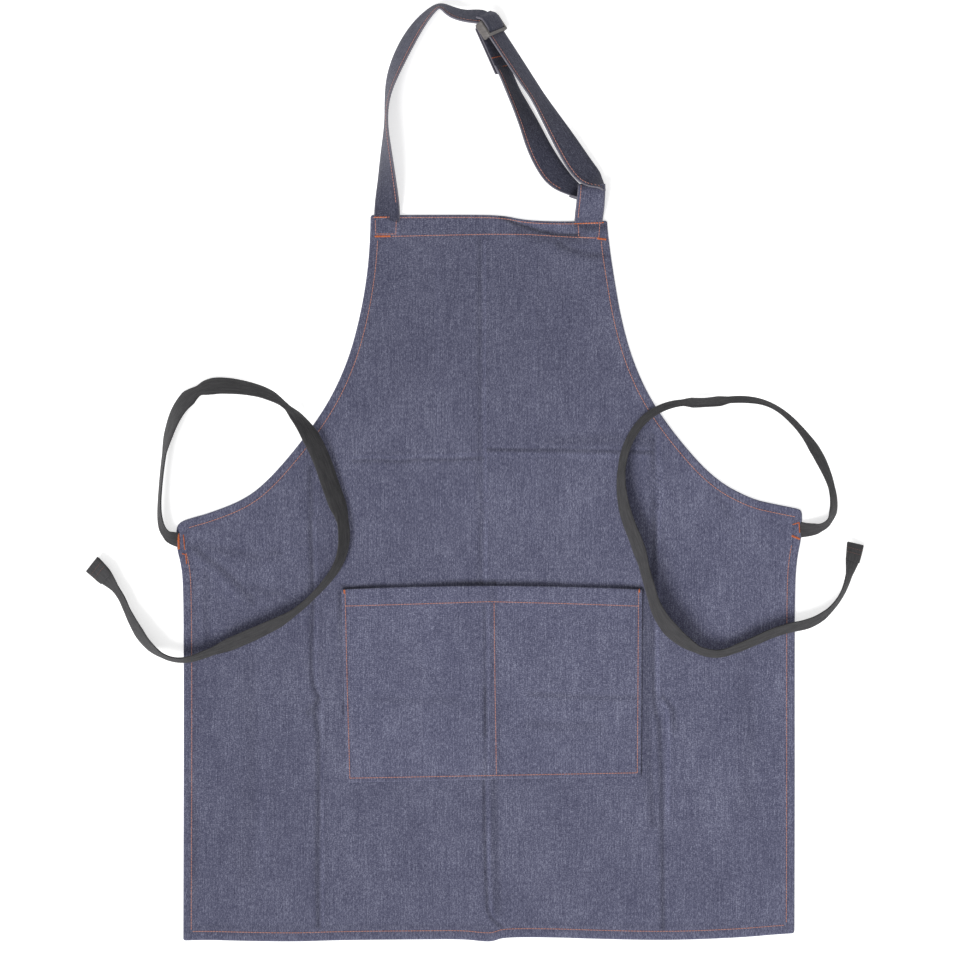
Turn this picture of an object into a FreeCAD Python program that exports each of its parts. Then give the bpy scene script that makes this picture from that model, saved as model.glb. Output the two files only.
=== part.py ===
import FreeCAD, Part
import math
import os
import Sketcher

# A bib apron laid flat, face up: denim panel with turned hems, a divided patch pocket,
# an adjustable neck strap with a sliding buckle, and two webbing waist ties.
# X runs across the apron, Y from the hem towards the neck strap, Z up from the table.
# The origin is the middle of the apron's outline (ties left out), on the table.

V = FreeCAD.Vector

# Driving dimensions in millimetres.
DIMENSIONS = {
    "denim": 0.8,                # one layer of cloth
    "hem_stack": 2.4,            # cloth turned twice: three layers
    "bib_half_width": 117.5,
    "bib_top": 255.5,
    "skirt_half_width": 305.0,
    "corner_half_width": 311.0,  # the waist corners flare out a little
    "corner_level": -45.0,
    "flare_end": -130.0,
    "hem_level": -466.0,
    "armhole_mid_x": 172.0,      # where the two arcs of an armhole meet
    "armhole_mid_y": 52.5,
    "armhole_low_x": 250.0,      # from here a straight edge runs to the corner
    "armhole_low_y": -26.5,
    "armhole_upper_radius": 395.0,
    "armhole_lower_radius": 198.0,
    "top_hem": 20.0,
    "side_hem": 12.0,
    "bottom_hem": 13.0,
    "pocket_left": -146.0,
    "pocket_right": 152.5,
    "pocket_top": -115.5,
    "pocket_bottom": -306.0,
    "pocket_rise": 6.2,          # the pocket cloth stands this far off the panel
    "pocket_seam": 4.0,
    "divider_x": 5.5,
    "divider_width": 3.0,
    "pocket_hem_row": -131.5,
    "thread": 0.9,               # width of a row of stitches
    "thread_rise": 0.35,
    "stitch_inset": 8.0,         # hem stitches lie this far inside the edge
    "bartack_rise": 0.6,
    "bartack_width": 2.6,
    "strap_width": 26.0,
    "strap_thickness": 2.0,
    "tab_width": 25.0,
    "tab_thickness": 1.6,
    "slider_length": 18.0,
    "slider_width": 33.0,
    "slider_bar": 3.0,
    "slider_rail": 2.6,
    "slider_top": 3.8,           # top of the end bars above the strap's middle plane
    "slider_floor": 4.8,         # underside of the middle bar below that plane
    "slider_gap": 1.8,           # the end bars start this far above that plane
    "slider_waist": 2.9,         # the middle bar starts this far below it
    "tie_width": 20.0,
    "tie_thickness": 1.4,
}

os.makedirs("parts", exist_ok=True)
doc = FreeCAD.newDocument("Apron")
sheet = doc.addObject("Spreadsheet::Sheet", "Sizes")
for row, (alias, number) in enumerate(DIMENSIONS.items(), start=1):
    sheet.set("A%d" % row, alias)
    sheet.set("B%d" % row, str(number))
    sheet.setAlias("B%d" % row, alias)
doc.recompute()

parts = []


def bound(formula):
    """Write a formula of dimension names as an expression on the sheet."""
    words = formula.split()
    return " ".join("Sizes." + word if word in DIMENSIONS else word for word in words)


def worth(formula):
    """Value of a sum of dimension names and plain numbers, such as 'a + b - 2'."""
    total = 0.0
    sign = 1.0
    for word in formula.split():
        if word in ("+", "-"):
            sign = 1.0 if word == "+" else -1.0
        else:
            negative = word.startswith("-")
            name = word.lstrip("-")
            amount = DIMENSIONS[name] if name in DIMENSIONS else float(name)
            total += sign * (-amount if negative else amount)
            sign = 1.0
    return total


def register(label, item):
    item.Label = label
    parts.append(item)
    return item


def plain_box(label, corner, extent):
    """A Part::Box whose corner and edges are bound to the sheet."""
    item = doc.addObject("Part::Box", label)
    for name, formula in zip(("Length", "Width", "Height"), extent):
        item.setExpression(name, bound(formula))
    for axis, formula in zip("xyz", corner):
        item.setExpression("Placement.Base." + axis, bound(formula))
    return register(label, item)


def arc_between(start, end, radius, left):
    """The short arc from start to end, bulging to the left or right of the chord."""
    chord = end - start
    half = chord.Length / 2
    sagitta = radius - math.sqrt(radius * radius - half * half)
    side = V(-chord.y, chord.x, 0).normalize()
    middle = (start + end) / 2 + side * (sagitta if left else -sagitta)
    return Part.Arc(start, middle, end)


def draw_profile(sketch, corners, arcs=None):
    """Close a loop through the corners; an edge in arcs is an arc, others are lines."""
    arcs = arcs or {}
    points = [V(worth(x), worth(y), 0) for x, y in corners]
    count = len(points)
    first = sketch.GeometryCount
    for index, start in enumerate(points):
        end = points[(index + 1) % count]
        if index in arcs:
            formula, left = arcs[index]
            sketch.addGeometry(arc_between(start, end, worth(formula), left), False)
        else:
            sketch.addGeometry(Part.LineSegment(start, end), False)
    # An arc drawn clockwise is stored the other way round, so its start is vertex 2.
    starts = {}
    ends = {}
    for index in range(count):
        geometry = sketch.Geometry[first + index]
        forward = geometry.StartPoint.distanceToPoint(points[index]) < 1e-6
        starts[index] = 1 if forward else 2
        ends[index] = 2 if forward else 1
    for index in range(count):
        follower = (index + 1) % count
        sketch.addConstraint(Sketcher.Constraint(
            "Coincident", first + index, ends[index], first + follower, starts[follower]))
    for index, (x, y) in enumerate(corners):
        for kind, formula in (("DistanceX", x), ("DistanceY", y)):
            number = sketch.addConstraint(Sketcher.Constraint(
                kind, -1, 1, first + index, starts[index], worth(formula)))
            sketch.setExpression("Constraints[%d]" % number, bound(formula))
    for index, (formula, left) in arcs.items():
        number = sketch.addConstraint(Sketcher.Constraint("Radius", first + index, worth(formula)))
        sketch.setExpression("Constraints[%d]" % number, bound(formula))


def new_sketch(body, name, plane):
    sketch = body.newObject("Sketcher::SketchObject", name)
    for feature in body.Origin.OriginFeatures:
        if feature.Role == plane:
            sketch.AttachmentSupport = [(feature, "")]
    sketch.MapMode = "FlatFace"
    return sketch


def padded_body(label, corners, arcs, height):
    """A body whose first feature pads a profile up from the XY plane."""
    body = doc.addObject("PartDesign::Body", label)
    sketch = new_sketch(body, label + "_profile", "XY_Plane")
    draw_profile(sketch, corners, arcs)
    pad = body.newObject("PartDesign::Pad", label + "_pad")
    pad.Profile = sketch
    pad.setExpression("Length", bound(height))
    doc.recompute()
    return register(label, body)


def cut_from_below(body, name, loops, depth):
    """Cut the loops upward from the XY plane, and check that material went away."""
    before = body.Shape.Volume
    sketch = new_sketch(body, name + "_profile", "XY_Plane")
    for corners, arcs in loops:
        draw_profile(sketch, corners, arcs)
    cut = body.newObject("PartDesign::Pocket", name)
    cut.Profile = sketch
    cut.Reversed = True
    cut.setExpression("Length", bound(depth))
    doc.recompute()
    if body.Shape.Volume > before - 1.0:
        raise RuntimeError(name + " cut nothing")


def rectangle(left, bottom, right, top):
    return [(left, bottom), (right, bottom), (right, top), (left, top)]


# ---------------------------------------------------------------- panel with turned hems

def panel_outline(inset, top_inset, side_inset, bottom_inset):
    """Outline of the apron, drawn in by the hem widths when they are not zero."""
    bib = "bib_half_width - " + inset
    mid_x = "armhole_mid_x - " + inset
    low_x = "armhole_low_x - " + inset
    low_y = "armhole_low_y - " + inset
    corner = "corner_half_width - " + side_inset
    skirt = "skirt_half_width - " + side_inset
    top = "bib_top - " + top_inset
    corner_y = "corner_level - " + inset
    hem = "hem_level + " + bottom_inset

    def minus(formula):
        return "0 - " + formula.replace(" - ", " + ")

    corners = [
        (minus(bib), top), (bib, top), (mid_x, "armhole_mid_y"), (low_x, low_y),
        (corner, corner_y), (skirt, "flare_end"), (skirt, hem),
        (minus(skirt), hem), (minus(skirt), "flare_end"), (minus(corner), corner_y),
        (minus(low_x), low_y), (minus(mid_x), "armhole_mid_y"),
    ]
    arcs = {
        1: ("armhole_upper_radius", False),
        2: ("armhole_lower_radius", False),
        10: ("armhole_lower_radius", False),
        11: ("armhole_upper_radius", False),
    }
    return corners, arcs


panel = padded_body("body_panel", *panel_outline("0", "0", "0", "0"), "hem_stack")
cut_from_below(
    panel, "panel_field", [panel_outline("9", "top_hem", "side_hem", "bottom_hem")],
    "hem_stack - denim")

# ---------------------------------------------------------------- patch pocket, two bays

pocket = padded_body(
    "pocket_panel", rectangle("pocket_left", "pocket_bottom", "pocket_right", "pocket_top"),
    None, "pocket_rise")
pocket.setExpression("Placement.Base.z", bound("hem_stack"))
bay_top = "pocket_top + 5"
bay_bottom = "pocket_bottom + pocket_seam"
half_divider = DIMENSIONS["divider_width"] / 2
left_bay = rectangle("pocket_left + pocket_seam", bay_bottom,
                     "divider_x - %g" % half_divider, bay_top)
right_bay = rectangle("divider_x + %g" % half_divider, bay_bottom,
                      "pocket_right - pocket_seam", bay_top)
cut_from_below(pocket, "pocket_bays", [(left_bay, None), (right_bay, None)],
               "pocket_rise - denim")

# ---------------------------------------------------------------- straight rows of stitches

PANEL_TOP = "hem_stack"
POCKET_FACE = "hem_stack + pocket_rise"


def row_along_x(label, left, right, level, height):
    plain_box(label, (left, level, height),
              ("%g" % (worth(right) - worth(left)), "thread", "thread_rise"))


def row_along_y(label, bottom, top, x, height):
    plain_box(label, (x, bottom, height),
              ("thread", "%g" % (worth(top) - worth(bottom)), "thread_rise"))


row_along_x("thread_top_hem_upper", "-113", "113", "bib_top - 3", PANEL_TOP)
row_along_x("thread_top_hem_lower", "-96", "107", "bib_top - top_hem", PANEL_TOP)
row_along_x("thread_bottom_hem", "-296", "296", "hem_level + 9", PANEL_TOP)
row_along_y("thread_side_left", "hem_level + 11", "flare_end", "stitch_inset - skirt_half_width",
            PANEL_TOP)
row_along_y("thread_side_right", "hem_level + 11", "flare_end",
            "skirt_half_width - stitch_inset - thread", PANEL_TOP)
row_along_x("thread_pocket_hem", "pocket_left + 6", "pocket_right - 6", "pocket_hem_row",
            POCKET_FACE)
row_along_x("thread_pocket_bottom", "pocket_left + 6", "pocket_right - 6", "pocket_bottom + 2.5",
            POCKET_FACE)
row_along_y("thread_pocket_left", "pocket_bottom + 2.5", "pocket_top - 1", "pocket_left + 3",
            POCKET_FACE)
row_along_y("thread_pocket_right", "pocket_bottom + 2.5", "pocket_top - 1", "pocket_right - 4",
            POCKET_FACE)
row_along_y("thread_pocket_divider", "pocket_bottom + 6", "pocket_hem_row - 3", "divider_x",
            POCKET_FACE)

# ---------------------------------------------------------------- bartacks

plain_box("bartack_strap", ("-114", "bib_top - 21", PANEL_TOP),
          ("16", "bartack_width", "bartack_rise"))
plain_box("bartack_tab", ("109", "bib_top - 21", PANEL_TOP),
          ("8", "bartack_width", "bartack_rise"))
plain_box("bartack_tie_left", ("-308", "-76", PANEL_TOP),
          ("bartack_width", "16", "bartack_rise"))
plain_box("bartack_tie_right", ("305", "-70", PANEL_TOP),
          ("bartack_width", "14", "bartack_rise"))
plain_box("bartack_pocket_left", ("pocket_left + 1", "pocket_top - 4", POCKET_FACE),
          ("1.8", "3", "bartack_rise"))
plain_box("bartack_pocket_right", ("pocket_right - 2.8", "pocket_top - 4", POCKET_FACE),
          ("1.8", "3", "bartack_rise"))

# ---------------------------------------------------------------- armhole rows

def armhole_row(label, mirror):
    """A row of stitches that follows both arcs of an armhole, inside the edge."""
    inset = DIMENSIONS["stitch_inset"]
    width = DIMENSIONS["thread"]
    top = V(DIMENSIONS["bib_half_width"], DIMENSIONS["bib_top"], 0)
    middle = V(DIMENSIONS["armhole_mid_x"], DIMENSIONS["armhole_mid_y"], 0)
    low = V(DIMENSIONS["armhole_low_x"], DIMENSIONS["armhole_low_y"], 0)
    corner = V(DIMENSIONS["corner_half_width"], DIMENSIONS["corner_level"], 0)
    upper = arc_between(top, middle, DIMENSIONS["armhole_upper_radius"], False)
    lower = arc_between(middle, low, DIMENSIONS["armhole_lower_radius"], False)
    drop = V(low.y - corner.y, corner.x - low.x, 0).normalize()

    def drawn_in(arc, distance, first, last):
        """Points on an arc moved away from its centre, between two fractions of it."""
        edge = arc.toShape()
        centre = edge.Curve.Center
        steps = 12
        points = []
        for step in range(steps + 1):
            share = first + (last - first) * step / steps
            spot = edge.valueAt(edge.FirstParameter
                                + share * (edge.LastParameter - edge.FirstParameter))
            points.append(spot + (spot - centre).normalize() * distance)
        if points[0].y < points[-1].y:
            points.reverse()
        return points

    def line(distance):
        upper_points = drawn_in(upper, distance, 0.12, 0.98)
        lower_points = drawn_in(lower, distance, 0.02, 0.97)
        last = low + (corner - low) * 0.78 - drop * distance
        return upper_points + lower_points + [last]

    loop = line(inset) + list(reversed(line(inset + width)))
    if mirror:
        loop = [V(-point.x, point.y, 0) for point in loop]
    face = Part.Face(Part.makePolygon(loop + [loop[0]]))
    item = doc.addObject("Part::Feature", label)
    item.Shape = face.extrude(V(0, 0, DIMENSIONS["thread_rise"]))
    item.Placement = FreeCAD.Placement(V(0, 0, DIMENSIONS["hem_stack"]), FreeCAD.Rotation())
    register(label, item)


armhole_row("thread_armhole_right", False)
armhole_row("thread_armhole_left", True)

# ---------------------------------------------------------------- flat bands on a route

def band_height(lift, tilt, width, thickness):
    """Height of a leaning band's middle when its low edge lies this far off the table."""
    lean = math.radians(tilt)
    return lift + width / 2 * abs(math.sin(lean)) + thickness / 2 * abs(math.cos(lean))


def rounded_path(points):
    """Straight runs joined by tangent arcs: a list of (position, route share), and the radii."""
    path = [(points[0], 0.0)]
    radii = []
    for index in range(1, len(points) - 1):
        here = points[index]
        back = points[index - 1] - here
        ahead = points[index + 1] - here
        reach = 0.45 * min(back.Length, ahead.Length)
        turn = math.pi - back.getAngle(ahead)
        radius = reach / math.tan(turn / 2)
        radii.append(radius)
        start = here + V(back).normalize() * reach
        end = here + V(ahead).normalize() * reach
        inward = (V(back).normalize() + V(ahead).normalize()).normalize()
        centre = here + inward * math.hypot(radius, reach)
        steps = max(2, math.ceil(math.degrees(turn) / 12))
        swing = FreeCAD.Rotation(start - centre, end - centre)
        for step in range(steps + 1):
            part_turn = FreeCAD.Rotation().slerp(swing, step / steps)
            spot = centre + part_turn.multVec(start - centre)
            before = reach / back.Length
            after = reach / ahead.Length
            share = index - before + (before + after) * step / steps
            path.append((spot, share))
    path.append((points[-1], float(len(points) - 1)))
    return path, radii


def filled_in(path, longest):
    """Add places on the straight runs so that no step is longer than asked."""
    dense = [path[0]]
    for (start, low), (end, high) in zip(path, path[1:]):
        steps = max(1, math.ceil((end - start).Length / longest))
        for step in range(1, steps + 1):
            share = step / steps
            dense.append((start + (end - start) * share, low + (high - low) * share))
    return dense


def blended(values, share):
    """Read a value listed per route point at a place between two of them."""
    index = min(int(share), len(values) - 2)
    part_way = share - index
    ease = part_way * part_way * (3 - 2 * part_way)
    return values[index] + (values[index + 1] - values[index]) * ease


def band(label, route, thickness, width=None, carrier=None, aside=0.0, proud=0.0, span=None,
         step=9.0):
    """A flat band along a route of (x, y, lift, tilt, width).

    tilt is in degrees: the right-hand edge rises as it grows. width, aside and proud
    make a narrower strip that lies off the middle line and on the face of a carrier
    band of that thickness, over the part of the route that span gives.
    """
    lifts, tilts, widths = ([stop[column] for stop in route] for column in (2, 3, 4))
    path, radii = rounded_path([V(stop[0], stop[1], 0) for stop in route])
    path = [
        (V(spot.x, spot.y, band_height(blended(lifts, share), blended(tilts, share),
                                       blended(widths, share), carrier or thickness)), share)
        for spot, share in filled_in(path, step)
        if not span or span[0] <= share <= span[1]
    ]
    sections = []
    length = 0.0
    for index, (spot, share) in enumerate(path):
        behind = path[max(index - 1, 0)][0]
        ahead = path[min(index + 1, len(path) - 1)][0]
        along = (ahead - behind).normalize()
        right = along.cross(V(0, 0, 1)).normalize()
        up = right.cross(along)
        lean = math.radians(blended(tilts, share))
        across = right * math.cos(lean) + up * math.sin(lean)
        face = up * math.cos(lean) - right * math.sin(lean)
        half = (width or blended(widths, share)) / 2
        middle = spot + across * aside + face * proud
        ring = [middle + across * a * half + face * b * thickness / 2
                for a, b in ((-1, -1), (1, -1), (1, 1), (-1, 1))]
        sections.append(Part.makePolygon(ring + [ring[0]]))
        if index:
            length += (spot - path[index - 1][0]).Length
    shape = Part.makeLoft(sections, True, True)
    if shape.Volume < 0:
        shape.reverse()
    mean_width = width or sum(widths) / len(widths)
    print("%s: length %.0f mm, volume %.0f mm3, width x thickness x length %.0f mm3"
          % (label, length, shape.Volume, mean_width * thickness * length))
    if not width:
        print("  arc radii:", " ".join("%.0f" % radius for radius in radii))
    item = doc.addObject("Part::Feature", label)
    item.Shape = shape
    return register(label, item)


# Each stop is x, y, lift of the low edge, tilt and width.
# The neck strap leaves the bib's left corner, stands on its edge over the top, runs
# straight through the buckle and down to the tab, and turns back inside the tab.
SLIDE_LIFT = 5.4
SLIDE_TILT = 50.0
NECK_STRAP = [
    (-101.5, 254.5, 0.2, 0, 26),
    (-101.5, 280, 0.3, 35, 26),
    (-103, 318, 0.3, 66, 26),
    (-102, 358, 0.3, 88, 26),
    (-96, 394, 0.3, 78, 26),
    (-84, 423, 0.3, 68, 26),
    (-68, 446, 0.3, 66, 26),
    (-50, 460.5, 0.4, 66, 26),
    (-22, 458.8, 1.5, 60, 26),
    (-6.2, 455.9, SLIDE_LIFT, SLIDE_TILT, 26),
    (45.4, 377.3, SLIDE_LIFT, SLIDE_TILT, 26),
    (70, 338.5, 4.6, 36, 26),
    (93, 303, 4.0, 30, 24),
    (109, 291, 2.6, 70, 15),
    (115.2, 281, 2.6, 88, 12),
    (110, 272, 2.6, 88, 12),
    (92, 271.5, 2.6, 88, 12),
    (79, 276, 2.2, 96, 13),
]
STRAP_RETURN = [
    (78.2, 276.4, 2.2, 96, 13),
    (66, 290, 1.2, 118, 22),
    (53, 315, 0.5, 128, 26),
    (42, 342, 0.5, 128, 26),
    (27, 372, 0.5, 126, 26),
    (16.6, 397, 0.6, 126, 26),
]
# The strap's sewn end goes round the buckle's middle bar and hangs beside the strap.
END_LOOP = [
    (-2.3, 444.7, 2.0, 50, 26),
    (5.5, 430, 1.4, 52, 26),
    (16, 398, 0.6, 54, 26),
]
# Waist ties of flat webbing, from the side hem out to the sewn ends.
LEFT_TIE = [
    (-310, -67, 0.5, 0, 20), (-322, -65, 0.3, 30, 20), (-329, -45, 0.3, 80, 20),
    (-326, -2, 0.3, 85, 20), (-321, 34, 0.3, 65, 20), (-308, 68, 0.3, 45, 20),
    (-283, 87, 0.3, 35, 20), (-248, 86, 0.3, 40, 20), (-214, 77, 0.8, 55, 20),
    (-187, 52, 3.4, 80, 20), (-168, 19, 3.4, 50, 20), (-156, -18, 3.4, 40, 20),
    (-143, -52, 3.4, 35, 20), (-146, -88, 3.4, 50, 20), (-168, -117, 3.4, 85, 20),
    (-197, -143, 3.4, 50, 20), (-234, -161, 3.4, 35, 20), (-272, -177, 3.4, 35, 20),
    (-308, -190, 3.8, 75, 20), (-338, -176, 0.5, 60, 20), (-357, -146, 0.3, 45, 20),
    (-370, -114, 0.3, 45, 20), (-395, -92, 0.3, 15, 20),
]
RIGHT_TIE = [
    (310, -57, 0.5, 0, 20), (326, -58, 0.3, -30, 20), (342, -48, 0.3, -78, 20),
    (344, -20, 0.3, -55, 20), (330, 15, 0.3, -45, 20), (308, 47, 0.3, -50, 20),
    (281, 69, 0.3, -75, 20), (250, 74, 0.3, -45, 20), (216, 69, 0.6, -78, 20),
    (184, 70, 2.9, -50, 20), (155, 56, 3.4, -40, 20), (136, 28, 3.4, -45, 20),
    (130, -6, 3.4, -50, 20), (135, -41, 3.4, -45, 20), (149, -74, 3.4, -55, 20),
    (158, -108, 3.4, -66, 20), (168, -142, 3.4, -62, 20), (191, -168, 3.4, -45, 20),
    (224, -184, 3.4, -35, 20), (257, -171, 3.4, -45, 20), (290, -156, 3.6, -35, 20),
    (325, -150, 3.0, -40, 20), (349, -128, 0.5, -80, 20), (360, -100, 0.3, -50, 20),
    (365, -72, 0.3, -15, 20),
]

STRAP = DIMENSIONS["strap_thickness"]
TIE = DIMENSIONS["tie_thickness"]
band("neck_strap", NECK_STRAP, STRAP)
band("neck_strap_return", STRAP_RETURN, STRAP)
band("thread_neck_strap", NECK_STRAP, 0.3, width=DIMENSIONS["thread"], carrier=STRAP,
     aside=10.0, proud=1.25, span=(0.4, 11.6))
for side, route in (("left", LEFT_TIE), ("right", RIGHT_TIE)):
    end = len(route) - 1
    band("tie_" + side, route, TIE)
    band("tie_%s_fold" % side, route, TIE, width=DIMENSIONS["tie_width"], carrier=TIE,
         proud=1.5, span=(end - 0.56, end))
    band("thread_tie_%s_end" % side, route, 0.3, width=17.0, carrier=TIE, proud=2.6,
         span=(end - 0.34, end - 0.27), step=0.7)

# ---------------------------------------------------------------- buckle and sewn strap end

strap_middle = band_height(SLIDE_LIFT, SLIDE_TILT, DIMENSIONS["strap_width"],
                           DIMENSIONS["strap_thickness"])
travel = V(NECK_STRAP[10][0] - NECK_STRAP[9][0], NECK_STRAP[10][1] - NECK_STRAP[9][1], 0).normalize()
slide_right = travel.cross(V(0, 0, 1))
slide_lean = math.radians(SLIDE_TILT)
slide_across = slide_right * math.cos(slide_lean) + V(0, 0, 1) * math.sin(slide_lean)
slide_face = V(0, 0, 1) * math.cos(slide_lean) - slide_right * math.sin(slide_lean)
slider_centre = V(NECK_STRAP[9][0], NECK_STRAP[9][1], strap_middle) + travel * 16.0
print("slider centre %.1f %.1f %.1f, slides along %.4f %.4f %.4f"
      % (*slider_centre, *travel))


def slider_body():
    """A three-bar buckle: end bars over the strap, the middle bar under it."""
    half_length = "%g" % (DIMENSIONS["slider_length"] / 2)
    half_width = "%g" % (DIMENSIONS["slider_width"] / 2)
    body = padded_body("slider", rectangle("-" + half_length, "-" + half_width,
                                           half_length, half_width),
                       None, "slider_floor + slider_top")
    inner = DIMENSIONS["slider_width"] / 2 - DIMENSIONS["slider_rail"]
    bar = DIMENSIONS["slider_bar"]
    end = DIMENSIONS["slider_length"] / 2
    window = rectangle("%g" % (bar - end), "%g" % -inner, "%g" % (end - bar), "%g" % inner)
    near = rectangle("%g" % -(end + 1), "%g" % -inner, "%g" % (-bar / 2), "%g" % inner)
    far = rectangle("%g" % (bar / 2), "%g" % -inner, "%g" % (end + 1), "%g" % inner)
    cut_from_below(body, "slider_under", [(near, None), (far, None)],
                   "slider_floor + slider_gap")
    before = body.Shape.Volume
    over = new_sketch(body, "slider_over_profile", "XY_Plane")
    draw_profile(over, window)
    over.AttachmentOffset = FreeCAD.Placement(
        V(0, 0, DIMENSIONS["slider_floor"] - DIMENSIONS["slider_waist"]), FreeCAD.Rotation())
    cut = body.newObject("PartDesign::Pocket", "slider_over")
    cut.Profile = over
    cut.Reversed = True
    cut.setExpression("Length", bound("slider_waist + slider_top + 1"))
    doc.recompute()
    if body.Shape.Volume > before - 1.0:
        raise RuntimeError("slider_over cut nothing")
    uprights = [number for number, edge in enumerate(body.Shape.Edges, start=1)
                if is_outer_upright(edge, end)]
    rounding = body.newObject("PartDesign::Fillet", "slider_rounding")
    rounding.Base = (cut, ["Edge%d" % number for number in uprights])
    rounding.Radius = 2.0
    doc.recompute()
    body.Tip = rounding
    turn = FreeCAD.Rotation(travel, slide_across, slide_face, "XZY")
    body.Placement = FreeCAD.Placement(
        slider_centre - slide_face * DIMENSIONS["slider_floor"], turn)
    return body


def is_outer_upright(edge, end):
    """Whether an edge is one of the buckle's long corner edges along its thickness."""
    first, last = edge.Vertexes[0].Point, edge.Vertexes[-1].Point
    upright = abs(first.x - last.x) < 1e-6 and abs(first.y - last.y) < 1e-6
    at_corner = abs(abs(first.x) - end) < 1e-6
    at_side = abs(abs(first.y) - DIMENSIONS["slider_width"] / 2) < 1e-6
    return upright and at_corner and at_side


slider = slider_body()
band("strap_end_loop", END_LOOP, 4.4)
band("thread_strap_end", END_LOOP, 0.3, width=9.0, carrier=4.4, proud=2.37, span=(1.6, 1.95),
     step=3.0)

# ---------------------------------------------------------------- tab at the right corner

def tab_solid():
    """A strip folded into a loop: flat underneath, rising from the bib to a round fold."""
    radius = 9.0
    fold = V(0, 275.5, radius)
    low = V(0, DIMENSIONS["bib_top"], 0)
    high = V(0, DIMENSIONS["bib_top"], 2.4)
    reach = (fold - high).Length
    rise = math.atan2(fold.z - high.z, fold.y - high.y)
    angle = rise + math.asin(radius / reach)
    span = math.sqrt(reach * reach - radius * radius)
    touch = high + V(0, math.cos(angle), math.sin(angle)) * span
    below = V(0, fold.y, 0)
    outside = fold + V(0, radius, 0)
    outline = Part.Wire([
        Part.LineSegment(low, below).toShape(),
        Part.Arc(below, outside, touch).toShape(),
        Part.LineSegment(touch, high).toShape(),
        Part.LineSegment(high, low).toShape(),
    ])
    hollow = outline.makeOffset2D(-DIMENSIONS["tab_thickness"])
    block = Part.Face(outline).extrude(V(DIMENSIONS["tab_width"], 0, 0))
    space = Part.Face(hollow).extrude(V(DIMENSIONS["tab_width"] + 2, 0, 0))
    space.translate(V(-1, 0, 0))
    return block.cut(space)


tab = doc.addObject("Part::Feature", "strap_tab")
tab.Shape = tab_solid()
tab.Placement = FreeCAD.Placement(V(84.5, 0, 0), FreeCAD.Rotation())
register("strap_tab", tab)

# ---------------------------------------------------------------- check and write

doc.recompute()
for item in doc.Objects:
    if "Invalid" in item.State or "Error" in item.State:
        raise RuntimeError("failed object: " + item.Label)
for item in parts:
    shape = item.Shape
    if shape.isNull() or not shape.isValid():
        raise RuntimeError("bad shape: " + item.Label)
    shape.exportStep("parts/%s.step" % item.Label)
    box = shape.BoundBox
    print("%-24s %5.1f cm3  x %.1f..%.1f  y %.1f..%.1f  z %.1f..%.1f"
          % (item.Label, shape.Volume / 1000, box.XMin, box.XMax, box.YMin, box.YMax,
             box.ZMin, box.ZMax))
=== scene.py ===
# %% [markdown]
# # A denim bib apron, laid flat
# A bib apron is one panel of denim with turned hems, a patch pocket with two bays, a neck
# strap with a sliding buckle, and two waist ties of flat webbing. The lesson builds each of
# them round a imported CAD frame, which says where everything is and what moves.
# Every length is in metres in Blender. The numbers typed here are millimetres, as a maker
# would write them, and MM turns them into metres.

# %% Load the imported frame
import math

import bpy
import numpy as np
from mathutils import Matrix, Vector, noise
from mathutils.bvhtree import BVHTree


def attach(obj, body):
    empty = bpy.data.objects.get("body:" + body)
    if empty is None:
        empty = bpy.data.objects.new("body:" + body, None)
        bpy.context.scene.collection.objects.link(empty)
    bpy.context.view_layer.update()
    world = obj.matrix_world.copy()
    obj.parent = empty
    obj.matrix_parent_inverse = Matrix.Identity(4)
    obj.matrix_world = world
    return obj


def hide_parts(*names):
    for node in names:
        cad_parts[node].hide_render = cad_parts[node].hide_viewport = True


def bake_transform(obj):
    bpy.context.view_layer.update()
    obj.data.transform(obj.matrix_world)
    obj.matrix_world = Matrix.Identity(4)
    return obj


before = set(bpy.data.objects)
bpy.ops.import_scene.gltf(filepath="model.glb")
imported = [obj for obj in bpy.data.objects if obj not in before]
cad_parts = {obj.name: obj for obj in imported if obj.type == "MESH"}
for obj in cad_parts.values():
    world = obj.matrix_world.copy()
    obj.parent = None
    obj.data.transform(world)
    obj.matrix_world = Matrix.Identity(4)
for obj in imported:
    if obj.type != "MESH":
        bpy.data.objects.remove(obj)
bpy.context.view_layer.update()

MM = 0.001

# %% [markdown]
# ## The camera
# A garment that is sold is often shown from straight above, flat on a pale table. A long
# lens far away keeps the edges of the cloth from leaning. The lens could be made
# orthographic, but a real one always has a little perspective, so this one keeps it.

# %% Camera above the apron
CAMERA_HEIGHT = 2.694
LENS = 100
SENSOR = 36
bpy.ops.object.select_all(action="DESELECT")
bpy.ops.object.camera_add(location=(-0.004, -0.013, CAMERA_HEIGHT), rotation=(0, 0, 0))
camera = bpy.context.object
camera.name = "view_from_above"
camera.data.lens = LENS
camera.data.sensor_width = SENSOR
bpy.context.scene.camera = camera
print("the camera sees", round(CAMERA_HEIGHT * SENSOR / LENS, 3), "m of the table")

# %% [markdown]
# ## Tools for flat bands
# Ties, straps and tabs are all flat bands. A band is a line down its middle, a direction
# across it at each point, and a width. Blender's own curve bevel could make one, but it
# can't be told to stand on its edge here and lie flat there, which is what a loose band
# does. So the line comes from a smooth spline and the band's skin is built round it.

# %% Small helpers


def only(thing):
    """Select one object and make it active, because operators act on all that is selected."""
    bpy.ops.object.select_all(action="DESELECT")
    thing.select_set(True)
    bpy.context.view_layer.objects.active = thing


def apply_modifier(thing, kind, **settings):
    only(thing)
    bpy.ops.object.modifier_add(type=kind)
    modifier = thing.modifiers[-1]
    for name, value in settings.items():
        setattr(modifier, name, value)
    bpy.ops.object.modifier_apply(modifier=modifier.name)


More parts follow.
